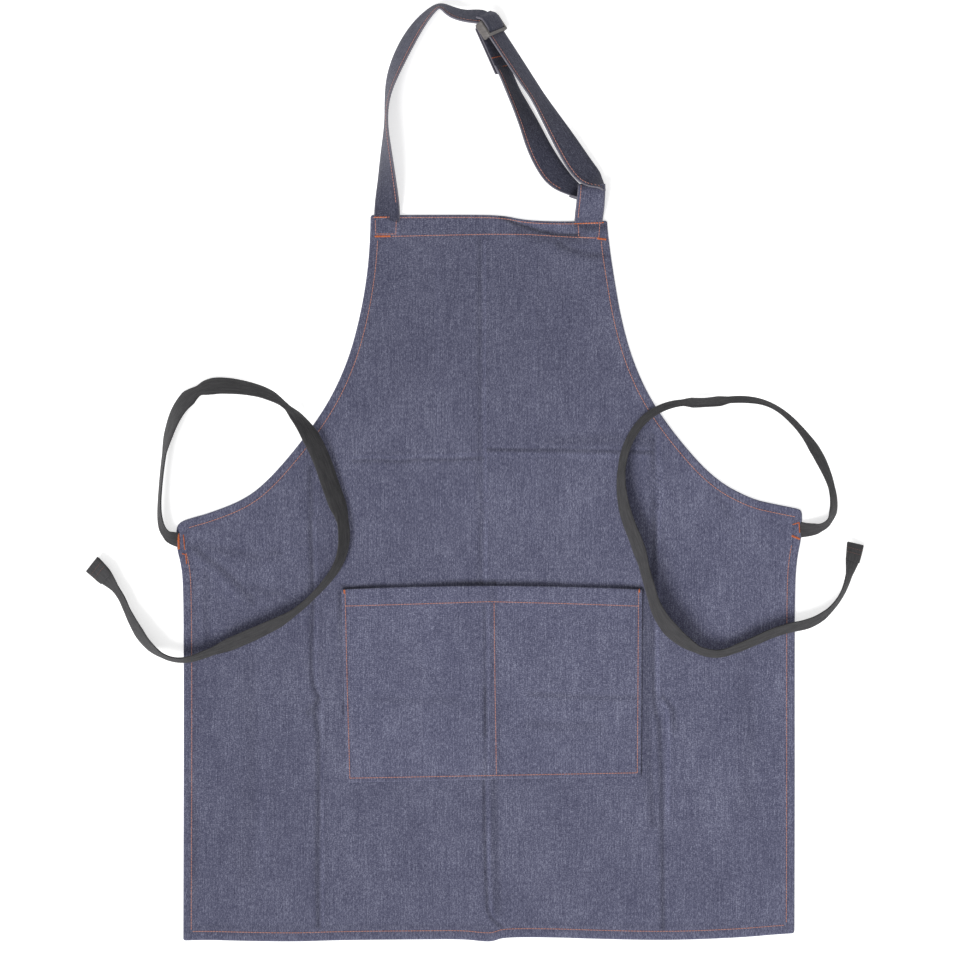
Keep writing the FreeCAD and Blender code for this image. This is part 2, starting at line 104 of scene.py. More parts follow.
def tidy_faces(thing, angle=50):
    """Point every face outwards and shade the soft turns smooth."""
    only(thing)
    bpy.ops.object.mode_set(mode="EDIT")
    bpy.ops.mesh.select_all(action="SELECT")
    bpy.ops.mesh.normals_make_consistent(inside=False)
    bpy.ops.object.mode_set(mode="OBJECT")
    bpy.ops.object.shade_smooth_by_angle(angle=math.radians(angle))


def new_piece(name, points, faces):
    mesh = bpy.data.meshes.new(name)
    mesh.from_pydata([tuple(point) for point in points], [], faces)
    mesh.update()
    thing = bpy.data.objects.new(name, mesh)
    bpy.context.scene.collection.objects.link(thing)
    return thing


def spline_points(stops, fineness=10):
    """The points of one smooth NURBS line that has the stops as its control points."""
    curve = bpy.data.curves.new("route", "CURVE")
    curve.dimensions = "3D"
    curve.resolution_u = fineness
    spline = curve.splines.new("NURBS")
    spline.points.add(len(stops) - 1)
    for point, stop in zip(spline.points, stops):
        point.co = (*stop, 1.0)
    spline.order_u = 3
    spline.use_endpoint_u = True
    holder = bpy.data.objects.new("route", curve)
    bpy.context.scene.collection.objects.link(holder)
    depsgraph = bpy.context.evaluated_depsgraph_get()
    line = bpy.data.meshes.new_from_object(holder.evaluated_get(depsgraph))
    points = [vertex.co.copy() for vertex in line.vertices]
    bpy.data.objects.remove(holder)
    bpy.data.meshes.remove(line)
    return points


def directions(points):
    """The direction of travel at each point of a line."""
    last = len(points) - 1
    return [(points[min(i + 1, last)] - points[max(i - 1, 0)]).normalized()
            for i in range(last + 1)]


print("helpers ready")

# %% Skin of a band

BAND_RING = [(-0.96, -1), (-0.5, -1), (0, -1), (0.5, -1), (0.96, -1), (1, -0.45), (1, 0.45),
             (0.96, 1), (0.5, 1), (0, 1), (-0.5, 1), (-0.96, 1), (-1, 0.45), (-1, -0.45)]


def band(name, centres, acrosses, widths, thickness, bow=0.0):
    """A closed flat band. bow cups it, by that much at the middle of its width."""
    alongs = directions(centres)
    points, marks = [], []
    travelled = 0.0
    for i, centre in enumerate(centres):
        if i:
            travelled += (centre - centres[i - 1]).length
        across = acrosses[i]
        face = across.cross(alongs[i]).normalized()
        for a, b in BAND_RING:
            lift = b * thickness / 2 + bow * (1 - a * a)
            points.append(centre + across * (a * widths[i] / 2) + face * lift)
            marks.append((a * widths[i] / 2, travelled))
    ring = len(BAND_RING)
    faces = [(s * ring + k, s * ring + (k + 1) % ring, (s + 1) * ring + (k + 1) % ring,
              (s + 1) * ring + k)
             for s in range(len(centres) - 1) for k in range(ring)]
    faces.append(tuple(range(ring)))
    faces.append(tuple(reversed(range(len(points) - ring, len(points)))))
    piece = new_piece(name, points, faces)
    weave = piece.data.uv_layers.new(name="weave")
    edge = piece.data.uv_layers.new(name="edge")
    for loop in piece.data.loops:
        place = marks[loop.vertex_index]
        weave.data[loop.index].uv = place
        edge.data[loop.index].uv = (BAND_RING[loop.vertex_index % ring][0], place[1])
    tidy_faces(piece)
    return piece


def leaning(centres, leans):
    """Directions across a band that leans by so many degrees, right-hand edge up."""
    acrosses = []
    for along, lean in zip(directions(centres), leans):
        right = along.cross(Vector((0, 0, 1))).normalized()
        up = right.cross(along)
        acrosses.append(right * math.cos(math.radians(lean)) + up * math.sin(math.radians(lean)))
    return acrosses


print("a band has", len(BAND_RING), "points round its edge")

# %% [markdown]
# ## The waist ties
# Each tie is about 0.77 m of limp 20 mm webbing, sewn to a corner of the skirt, with its
# cut end folded over and stitched. It lies in a loose loop beside the armhole, and it
# leans or stands on its edge where it turns, as a band must when it bends sideways.
# A stop is x, y, how far its low edge is off the table, and how much it leans in degrees.
# The stops are the CAD route's. One spline with them as its control points gives the line
# of the tie, and the height of the line at each point says how far the tie can lean there.

# %% Routes of the ties
TIE_WIDTH = 20.0
TIE_THICKNESS = 1.4
LEFT_TIE = [
    (-310, -67, 0.5, 0), (-322, -65, 0.3, 30), (-329, -45, 0.3, 80),
    (-326, -2, 0.3, 85), (-321, 34, 0.3, 65), (-308, 68, 0.3, 45),
    (-283, 87, 0.3, 35), (-248, 86, 0.3, 40), (-214, 77, 0.8, 55),
    (-187, 52, 3.4, 80), (-168, 19, 3.4, 50), (-156, -18, 3.4, 40),
    (-143, -52, 3.4, 35), (-146, -88, 3.4, 50), (-168, -117, 3.4, 85),
    (-197, -143, 3.4, 50), (-234, -161, 3.4, 35), (-272, -177, 3.4, 35),
    (-308, -190, 3.8, 75), (-338, -176, 0.5, 60), (-357, -146, 0.3, 45),
    (-370, -114, 0.3, 45), (-395, -92, 0.3, 15),
]
RIGHT_TIE = [
    (310, -57, 0.5, 0), (326, -58, 0.3, -30), (342, -48, 0.3, -78),
    (344, -20, 0.3, -55), (330, 15, 0.3, -45), (308, 47, 0.3, -50),
    (281, 69, 0.3, -75), (250, 74, 0.3, -45), (216, 69, 0.6, -78),
    (184, 70, 2.9, -50), (155, 56, 3.4, -40), (136, 28, 3.4, -45),
    (130, -6, 3.4, -50), (135, -41, 3.4, -45), (149, -74, 3.4, -55),
    (158, -108, 3.4, -66), (168, -142, 3.4, -62), (191, -168, 3.4, -45),
    (224, -184, 3.4, -35), (257, -171, 3.4, -45), (290, -156, 3.6, -35),
    (325, -150, 3.0, -40), (349, -128, 0.5, -80), (360, -100, 0.3, -50),
    (365, -72, 0.3, -15),
]


# How wide each tie looks from above, in millimetres, at places along it: it twists as it
# turns, so it looks narrow where it stands on its edge or is creased along its length.
LEFT_LOOK = [
    (0, 15), (10, 12), (21, 3), (66, 3), (92, 3), (113, 10), (137, 14), (158, 17), (170, 10),
    (177, 15), (185, 17), (202, 16), (224, 13), (244, 10), (263, 4), (276, 10), (302, 17),
    (375, 17), (393, 11), (409, 11), (448, 7), (475, 5), (501, 6), (521, 11), (549, 13),
    (574, 13), (588, 9), (600, 3), (638, 3), (658, 9), (677, 11), (698, 8), (720, 4), (734, 12),
    (743, 17), (760, 19)]
RIGHT_LOOK = [
    (0, 16), (17, 11), (29, 3), (42, 9), (67, 7), (95, 11), (110, 11), (124, 8), (141, 6),
    (173, 4), (192, 3), (208, 4), (223, 10), (237, 9), (251, 10), (265, 4), (280, 6), (337, 6),
    (359, 7), (401, 11), (443, 12), (456, 9), (491, 9), (508, 12), (527, 15), (547, 12),
    (563, 7), (578, 5), (590, 6), (602, 9), (677, 10), (695, 8), (711, 3), (726, 3), (743, 7),
    (756, 14), (774, 17)]
CREASED = 0.5    # the least share of its width that a crease along its length leaves
TIE_BOW = 0.25
SPLINE_FINENESS = 12


def middle_height(lift, lean, width, thickness):
    """Height of a leaning band's middle when its low edge is lift off the table."""
    turn = math.radians(lean)
    return lift + width / 2 * abs(math.sin(turn)) + thickness / 2 * abs(math.cos(turn))


def lean_for(height, look, width, thickness):
    """How far a band leans to look this wide, if its middle is high enough, and its width."""
    room = math.asin(min(0.999, max(0.0, (height - thickness / 2) / (width / 2))))
    turn = min(math.acos(min(1.0, look / width)), room)
    return math.degrees(turn), width * max(CREASED, min(1.0, look / (width * math.cos(turn))))


print("left tie:", len(LEFT_TIE), "stops, right tie:", len(RIGHT_TIE), "stops")

# %% Lay the ties

ties = {}
for side, route, looks, way in (("left", LEFT_TIE, LEFT_LOOK, 1),
                                ("right", RIGHT_TIE, RIGHT_LOOK, -1)):
    line = spline_points([
        (x * MM, y * MM, middle_height(lift, lean, TIE_WIDTH, TIE_THICKNESS) * MM)
        for x, y, lift, lean in route], SPLINE_FINENESS)
    lifts = [point.x for point in spline_points([(stop[2], 0, 0) for stop in route],
                                                SPLINE_FINENESS)]
    length, forms = 0.0, []
    for i, (point, lift) in enumerate(zip(line, lifts)):
        length += (point - line[max(i - 1, 0)]).length
        look = np.interp(length / MM, *np.array(looks).T)
        forms.append(lean_for(point.z / MM - lift, look, TIE_WIDTH, TIE_THICKNESS))
    acrosses = leaning(line, [way * lean for lean, _ in forms])
    tie = band("waist_tie_" + side, line, acrosses, [width * MM for _, width in forms],
               TIE_THICKNESS * MM, bow=TIE_BOW * MM)
    ties[side] = {"piece": tie, "line": line, "acrosses": acrosses,
                  "widths": [width * MM for _, width in forms]}
    print(tie.name, "length", round(length, 3), "m,", len(line), "points")

# %% [markdown]
# The end of a tie is folded over once so that it can't fray, and a few rows of thread
# hold the fold. The fold is a second short band on top of the first, and it goes round
# the end in a small half circle, as wide as the tie is there.

# %% Fold the tie ends over
FOLD_LENGTH = 17.0
FOLD_RISE = 1.5
FOLD_TURNS = (35, 70, 105, 140)


def fold_end(name, tie):
    """A short layer on the last stretch of a tie, joined to it by a round turn."""
    line, acrosses = tie["line"], tie["acrosses"]
    alongs = directions(line)
    left = FOLD_LENGTH * MM
    start = len(line) - 1
    while left > 0 and start > 0:
        left -= (line[start] - line[start - 1]).length
        start -= 1
    centres = []
    for i in range(start, len(line)):
        face = acrosses[i].cross(alongs[i]).normalized()
        centres.append(line[i] + face * FOLD_RISE * MM)
    tie["fold_spots"] = (list(centres), acrosses[start:])
    face = acrosses[-1].cross(alongs[-1]).normalized()
    for turn in FOLD_TURNS:
        reach = math.sin(math.radians(turn)) * FOLD_RISE / 2
        rise = (1 + math.cos(math.radians(turn))) * FOLD_RISE / 2
        centres.append(line[-1] + alongs[-1] * reach * MM + face * rise * MM)
    turns = len(FOLD_TURNS)
    return band(name, centres, acrosses[start:] + [acrosses[-1]] * turns,
                tie["widths"][start:] + [tie["widths"][-1]] * turns, TIE_THICKNESS * MM)


for side, tie in ties.items():
    tie["fold"] = fold_end("waist_tie_fold_" + side, tie)
    print(tie["fold"].name, len(tie["fold"].data.polygons), "faces")

# %% [markdown]
# ## Stitches
# Every seam on the apron is a row of separate stitches in salmon thread. One stitch is
# a small grain of thread, thickest in its middle, that dips into the cloth at both ends.
# It is modelled once, from a sphere of a few faces, and copied along each row. An array
# modifier could repeat it, but a seam also follows folds and changes of height, so the
# copies are laid one by one on the cloth below them.

# %% One stitch
END_DIP = 0.35    # how far its ends go down into the cloth, and how high its middle sits,
SIT = 0.22        # both as shares of its height
bpy.ops.object.select_all(action="DESELECT")
bpy.ops.mesh.primitive_uv_sphere_add(segments=6, ring_count=5, radius=0.5,
                                     rotation=(0, math.pi / 2, 0))
grain = bpy.context.object
bpy.ops.object.transform_apply(location=False, rotation=True, scale=False)
GRAIN_POINTS = np.array([vertex.co for vertex in grain.data.vertices])
GRAIN_POINTS[:, 2] -= END_DIP * (2 * GRAIN_POINTS[:, 0]) ** 2
GRAIN_FACES = [tuple(face.vertices) for face in grain.data.polygons]
bpy.data.objects.remove(grain)
print("one stitch has", len(GRAIN_FACES), "faces")

# %% Lay a row of stitches


def stitches(name, spots, length, width, height):
    """Copies of the stitch. A spot is its middle, its direction and the cloth's normal."""
    points, faces = [], []
    for centre, along, normal in spots:
        side = normal.cross(along).normalized()
        turn = np.array([along * length, side * width, normal * height])
        start = len(points)
        points.extend(GRAIN_POINTS @ turn + np.array(centre + normal * height * SIT))
        faces.extend(tuple(start + corner for corner in face) for face in GRAIN_FACES)
    piece = new_piece(name, points, faces)
    tidy_faces(piece, 80)
    return piece


def even_places(line, pitch):
    """Places a pitch apart along a line of points, each with its direction."""
    places = []
    left = pitch / 2
    for a, b in zip(line, line[1:]):
        run = (b - a).length
        while left < run:
            places.append((a + (b - a) * (left / run), (b - a).normalized()))
            left += pitch
        left -= run
    return places


def on_cloth(tree, line, pitch, length):
    """Spots for stitches that lie on the cloth under a line drawn in x and y."""
    spots = []
    for place, along in even_places(line, pitch):
        ends = []
        for way in (-0.5, 0, 0.5):
            start = place + along * (way * length)
            ends.append(tree.ray_cast(Vector((start.x, start.y, 0.2)), Vector((0, 0, -1))))
        if all(hit[0] is not None for hit in ends):
            slope = (ends[2][0] - ends[0][0]).normalized()
            normal = ends[1][1] if ends[1][1].z > 0 else -ends[1][1]
            normal = (normal - slope * normal.dot(slope)).normalized()
            spots.append((ends[1][0], slope, normal))
    return spots


def surface_of(*things):
    """A tree of the faces of some pieces, which answers where a ray meets them."""
    points, faces = [], []
    for thing in things:
        start = len(points)
        points.extend(vertex.co.copy() for vertex in thing.data.vertices)
        faces.extend(tuple(start + corner for corner in face.vertices)
                     for face in thing.data.polygons)
    return BVHTree.FromPolygons(points, faces)


def flat_line(*corners):
    return [Vector((x * MM, y * MM, 0)) for x, y in corners]


print("seams can follow any cloth")

# %% Stitch the tie ends
END_ROWS = (5.0, 9.0)
END_PITCH = 2.6
for side, tie in ties.items():
    centres, acrosses = tie["fold_spots"]
    alongs = directions(centres)
    spots = []
    for back in END_ROWS:
        place = min(range(len(centres)),
                    key=lambda i: abs((centres[i] - centres[-1]).length - back * MM))
        face = acrosses[place].cross(alongs[place]).normalized()
        for step in range(-3, 4):
            spot = centres[place] + acrosses[place] * (step * END_PITCH * MM)
            spots.append((spot + face * TIE_THICKNESS / 2 * MM, acrosses[place], face))
    tie["thread"] = stitches("tie_end_stitches_" + side, spots, 2.2 * MM, 0.6 * MM, 0.5 * MM)
    print(tie["thread"].name, len(spots), "stitches")

# %% [markdown]
# ## Cloth and thread
# Denim is a twill: dark blue warp threads show on its face and pale weft threads peep
# between them, in short upright streaks where a warp thread is thin. A photo texture
# could show that, but a pattern made from noise has no size limit and no seams. Noise
# stretched along the warp gives the streaks, fine noise the salt and pepper of the weft,
# very long noise the warp threads that are paler all along, a slanted wave the twill line,
# and broad noise the cloudiness of cloth that has been folded. Flat pieces read the pattern
# from where they lie, bands from their own length.

# %% Material helpers


def new_material(name, roughness):
    material = bpy.data.materials.new(name)
    material.use_nodes = True
    shader = material.node_tree.nodes["Principled BSDF"]
    shader.inputs["Roughness"].default_value = roughness
    return material, shader


def add_node(material, kind, **settings):
    """A node with its settings; a setting whose value is a socket is linked instead."""
    node = material.node_tree.nodes.new(kind)
    for name, value in settings.items():
        if hasattr(node, name) and name not in node.inputs:
            setattr(node, name, value)
    for name, value in settings.items():
        key = name.replace("_", " ")
        socket = node.inputs.get(key) or node.inputs.get(name)
        if socket is None:
            continue
        if isinstance(value, bpy.types.NodeSocket):
            material.node_tree.links.new(value, socket)
        else:
            socket.default_value = value
    return node


def sum_of(material, kind, first, second):
    """The result of one arithmetic step on two sockets or numbers."""
    node = material.node_tree.nodes.new("ShaderNodeMath")
    node.operation = kind
    for socket, value in zip(node.inputs, (first, second)):
        if isinstance(value, bpy.types.NodeSocket):
            material.node_tree.links.new(value, socket)
        else:
            socket.default_value = value
    return node.outputs[0]


def pattern_place(material, on_band):
    """Where a pattern is read: along a band's own length, or where a flat piece lies."""
    if on_band:
        return add_node(material, "ShaderNodeUVMap", uv_map="weave").outputs["UV"]
    return add_node(material, "ShaderNodeTexCoord").outputs["Object"]


def speckle(material, place, stretch, detail=2.0):
    """Noise from 0 to 1 whose grains are this many millimetres in x and y."""
    mapping = add_node(material, "ShaderNodeMapping", Vector=place,
                       Scale=(1000 / stretch[0], 1000 / stretch[1], 0.0))
    grains = add_node(material, "ShaderNodeTexNoise", Vector=mapping.outputs["Vector"],
                      Scale=1.0, Detail=detail, Roughness=0.6)
    return grains.outputs["Fac"]


def ramp(material, factor, stops):
    node = add_node(material, "ShaderNodeValToRGB", Fac=factor)
    band_colours = node.color_ramp.elements
    for place, colour in stops[2:]:
        band_colours.new(place)
    for element, (place, colour) in zip(band_colours, sorted(stops)):
        element.position = place
        element.color = (*colour, 1.0)
    return node.outputs["Color"]


def mix_colours(material, kind, amount, first, second):
    """Two colours, each a socket or four numbers, blended by an amount."""
    node = add_node(material, "ShaderNodeMix", data_type="RGBA", clamp_factor=True,
                    blend_type=kind, Factor=amount)
    for socket, value in zip((node.inputs[6], node.inputs[7]), (first, second)):
        if isinstance(value, bpy.types.NodeSocket):
            material.node_tree.links.new(value, socket)
        else:
            socket.default_value = value
    return node.outputs[2]


def bump(material, shader, height, distance):
    node = add_node(material, "ShaderNodeBump", Height=height, Distance=distance, Strength=1.0)
    material.node_tree.links.new(node.outputs["Normal"], shader.inputs["Normal"])


print("material helpers ready")

# %% Denim
DENIM_DARK = (0.030, 0.032, 0.070)
DENIM_MIDDLE = (0.100, 0.103, 0.170)
DENIM_PALE = (0.330, 0.340, 0.450)
FRAY_COLOUR = (0.20, 0.19, 0.22, 1.0)
# Grains of the weave: their size across and along the warp in millimetres, how detailed
# they are, and their share of the pattern. The first are the streaks, the second the weft.
DENIM_GRAINS = (((1.4, 3.4), 2.0, 0.42), ((1.2, 1.0), 1.0, 0.46), ((0.9, 45.0), 1.0, 0.20),
                ((9.0, 12.0), 3.0, 0.14), ((60.0, 90.0), 2.0, 0.12))
TWILL_SHARE = 0.07


def frayed(material, colour):
    """Pale fibres along the two long edges of a band of denim."""
    place = add_node(material, "ShaderNodeUVMap", uv_map="edge").outputs["UV"]
    across = add_node(material, "ShaderNodeSeparateXYZ", Vector=place).outputs["X"]
    near = sum_of(material, "SUBTRACT", sum_of(material, "ABSOLUTE", across, 0.0), 0.90)
    near = sum_of(material, "MULTIPLY", near, 14.0)
    fibres = speckle(material, pattern_place(material, True), (0.7, 1.6))
    amount = sum_of(material, "MULTIPLY", near, sum_of(material, "MULTIPLY", fibres, 1.1))
    return mix_colours(material, "MIX", amount, colour, FRAY_COLOUR)


def denim(name, depth=1.0, on_band=False, with_painted_shade=False):
    """Denim, darker for a depth below 1. A piece with painted shade has its colour multiplied by
    the painted light and shade stored at its points.
    """
    material, shader = new_material(name, 0.92)
    place = pattern_place(material, on_band)
    grains = [speckle(material, place, size, detail) for size, detail, _ in DENIM_GRAINS]
    slant = add_node(material, "ShaderNodeMapping", Vector=place,
                     Rotation=(0, 0, math.radians(27)), Scale=(1, 1, 0))
    twill = add_node(material, "ShaderNodeTexWave", Vector=slant.outputs["Vector"],
                     Scale=330.0, Distortion=1.2, Detail=1.0, Detail_Scale=2.0).outputs["Fac"]
    total = sum_of(material, "MULTIPLY", twill, TWILL_SHARE)
    for grain, (_, _, share) in zip(grains, DENIM_GRAINS):
        total = sum_of(material, "ADD", total, sum_of(material, "MULTIPLY", grain, share))
    above_half = (TWILL_SHARE + sum(share for _, _, share in DENIM_GRAINS)) / 2 - 0.5
    colour = ramp(material, sum_of(material, "SUBTRACT", total, above_half),
                  [(0.30, [c * depth for c in DENIM_DARK]),
                   (0.75, [c * depth for c in DENIM_PALE]),
                   (0.50, [c * depth for c in DENIM_MIDDLE])])
    # Painted shade and painted highlights: the colour is multiplied by the light and shade stored
    # at the sheet's points.
    if with_painted_shade:
        painted_light_node = add_node(material, "ShaderNodeAttribute", attribute_name="painted_light_and_shade")
        colour = mix_colours(material, "MULTIPLY", 1.0, colour, painted_light_node.outputs["Color"])
    if on_band:
        colour = frayed(material, colour)
    material.node_tree.links.new(colour, shader.inputs["Base Color"])
    threads = sum_of(material, "ADD", sum_of(material, "MULTIPLY", twill, 0.55),
                     sum_of(material, "ADD", sum_of(material, "MULTIPLY", grains[0], 0.7),
                            grains[1]))
    bump(material, shader, threads, 0.00028)
    shader.inputs["Sheen Weight"].default_value = 0.15
    shader.inputs["Sheen Roughness"].default_value = 0.6
    shader.inputs["Specular IOR Level"].default_value = 0.2
    return material


denim_flat = denim("denim_flat", with_painted_shade=True)
denim_band = denim("denim_band", depth=0.46, on_band=True)
denim_tab = denim("denim_tab", depth=0.78, on_band=True)
# The returning strap gets darker denim: painted shade, as it lies under the front strap and faces
# away from the light.
denim_painted_shade = denim("denim_painted_shade", depth=0.42, on_band=True)
print("four denims made")

# %% Webbing, thread and buckle plastic


def webbing_material():
    """Charcoal webbing: fine ribs along it, crossed by the beat of the weft."""
    material, shader = new_material("charcoal_webbing", 0.85)
    place = pattern_place(material, True)
    ribs = add_node(material, "ShaderNodeTexWave", Vector=place, Scale=260.0,
                    Distortion=0.4).outputs["Fac"]
    picks = add_node(material, "ShaderNodeTexWave", Vector=place, bands_direction="Y",
                     Scale=300.0, Distortion=0.6).outputs["Fac"]
    weave = sum_of(material, "MULTIPLY", ribs, picks)
    dusty = speckle(material, place, (2.0, 14.0), 3.0)
    tone = sum_of(material, "ADD", sum_of(material, "MULTIPLY", weave, 0.45),
                  sum_of(material, "MULTIPLY", dusty, 0.6))
    colour = ramp(material, tone, [(0.15, (0.020, 0.020, 0.023)), (0.8, (0.100, 0.097, 0.100))])
    material.node_tree.links.new(colour, shader.inputs["Base Color"])
    bump(material, shader, weave, 0.00035)
    shader.inputs["Sheen Weight"].default_value = 0.1
    shader.inputs["Specular IOR Level"].default_value = 0.3
    return material


def thread_material(name, dark, light):
    """Spun thread: a little paler and darker along its length, with a twisted look."""
    material, shader = new_material(name, 0.6)
    place = pattern_place(material, False)
    colour = ramp(material, speckle(material, place, (2.5, 2.5)), [(0.3, dark), (0.7, light)])
    material.node_tree.links.new(colour, shader.inputs["Base Color"])
    twist = add_node(material, "ShaderNodeTexWave", Vector=place, bands_direction="DIAGONAL",
                     Scale=700.0).outputs["Fac"]
    bump(material, shader, twist, 0.0001)
    return material


def buckle_material():
    """Moulded nylon: dark, finely matt, with faint flow marks and scuffed highlights."""
    material, shader = new_material("grey_brown_nylon", 0.42)
    place = pattern_place(material, False)
    marks = speckle(material, place, (6.0, 2.0), 4.0)
    colour = ramp(material, marks, [(0.3, (0.085, 0.078, 0.074)), (0.75, (0.17, 0.155, 0.15))])
    material.node_tree.links.new(colour, shader.inputs["Base Color"])
    bump(material, shader, speckle(material, place, (0.5, 0.5)), 0.00006)
    return material


webbing = webbing_material()
salmon_thread = thread_material("salmon_thread", (0.44, 0.17, 0.13), (0.66, 0.32, 0.25))
dull_thread = thread_material("dull_brown_thread", (0.09, 0.05, 0.045), (0.17, 0.09, 0.075))
bright_thread = thread_material("bright_orange_thread", (0.55, 0.11, 0.025), (0.80, 0.22, 0.05))
grey_nylon = buckle_material()


def dress(thing, material, body="apron"):
    """Give a piece its finish and its body."""
    thing.data.materials.clear()
    thing.data.materials.append(material)
    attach(thing, body)
    return thing


print("materials:", [material.name for material in bpy.data.materials if material.users < 2])

# %% Finish the ties and hide their CAD parts
for side, tie in ties.items():
    dress(tie["piece"], webbing)
    dress(tie["fold"], webbing)
    dress(tie["thread"], dull_thread)
    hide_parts("tie_" + side)
    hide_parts("tie_%s_fold" % side)
    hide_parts("thread_tie_%s_end" % side)

# %% [markdown]
# ## The panel
# The body of the apron is one piece of denim. Its edges are turned under and sewn, so the
# border is three layers thick and rounded, while the field between lies close to the
# table. It was folded flat for sale, and the folds still show as lines that stand up or
# sink a little. A grid of points is laid out row by row between the two side edges, with
# closer rows and columns where there is a fold or a hem, and each point gets its height.
# Each point also gets painted shade and painted highlights along the folds and seams, and a
# painted fall of light that is lighter to the right and darker up the bib.

# %% Outline of the panel
LEFT_EDGE = [(258, -118), (232, -118.3), (192, -122), (152, -129.3), (112, -140.3),
             (72, -158.3), (32.5, -185), (-7.5, -219), (-27.5, -243.5), (-41.5, -279),
             (-47.3, -301), (-51.0, -309.5), (-57, -312.3), (-76, -311.5), (-90, -307.5),
             (-110, -305), (-200, -304.4), (-330, -304.6), (-470, -305)]
RIGHT_EDGE = [(258, 117.6), (232, 119), (192, 125), (152, 132), (112, 143),
              (72, 161), (32.5, 189), (-7.5, 225), (-27.5, 262), (-33, 288),
              (-36.2, 304), (-37.4, 310), (-39.2, 312), (-46, 312.4), (-66, 311.5),
              (-84, 307.5),
              (-110, 305.2), (-200, 304.8), (-330, 305), (-470, 304.5)]
TOP_EDGE = [(-120, 256.6), (-20, 257.2), (14, 256.4), (32, 252.4), (50, 250.8), (82, 250.2),
            (120, 251.2)]
HEM_EDGE = [(-308, -467.2), (-285, -466.2), (-250, -467.4), (-190, -468.2), (-150, -466.6),
            (-70, -466.0), (-25, -465.6), (-6, -468.0), (4, -468.0), (14, -463.8), (60, -463.8),
            (100, -465.2), (178, -467.0), (250, -464.2), (290, -460.6), (308, -459.6)]
EDGE_ROLL = [(0.55, -0.22), (0.85, -0.85), (0.55, -1.45), (0.0, -1.7), (-4.5, -1.75),
             (-9.5, -1.75)]


def edge_reader(stops):
    """A smooth edge with these stops as its control points, read at any level."""
    line = np.array(spline_points([(*stop, 0) for stop in stops], 8))
    order = np.argsort(line[:, 0])
    return lambda level: np.interp(level, line[order, 0], line[order, 1])


left_edge, right_edge = edge_reader(LEFT_EDGE), edge_reader(RIGHT_EDGE)
top_edge, hem_edge = edge_reader(TOP_EDGE), edge_reader(HEM_EDGE)
print("width at the waist:", round(float(right_edge(-60) - left_edge(-60)), 1), "mm")

# %% Heights of the cloth


def smooth(values):
    values = np.clip(values, 0, 1)
    return values * values * (3 - 2 * values)


def distance_to(line, x, y):
    """Distance from each point to a line of corners, in millimetres."""
    nearest = np.full(x.shape, 1e9)
    for (x0, y0), (x1, y1) in zip(line, line[1:]):
        dx, dy = x1 - x0, y1 - y0
        share = np.clip(((x - x0) * dx + (y - y0) * dy) / (dx * dx + dy * dy), 0, 1)
        nearest = np.minimum(nearest, np.hypot(x - x0 - share * dx, y - y0 - share * dy))
    return nearest
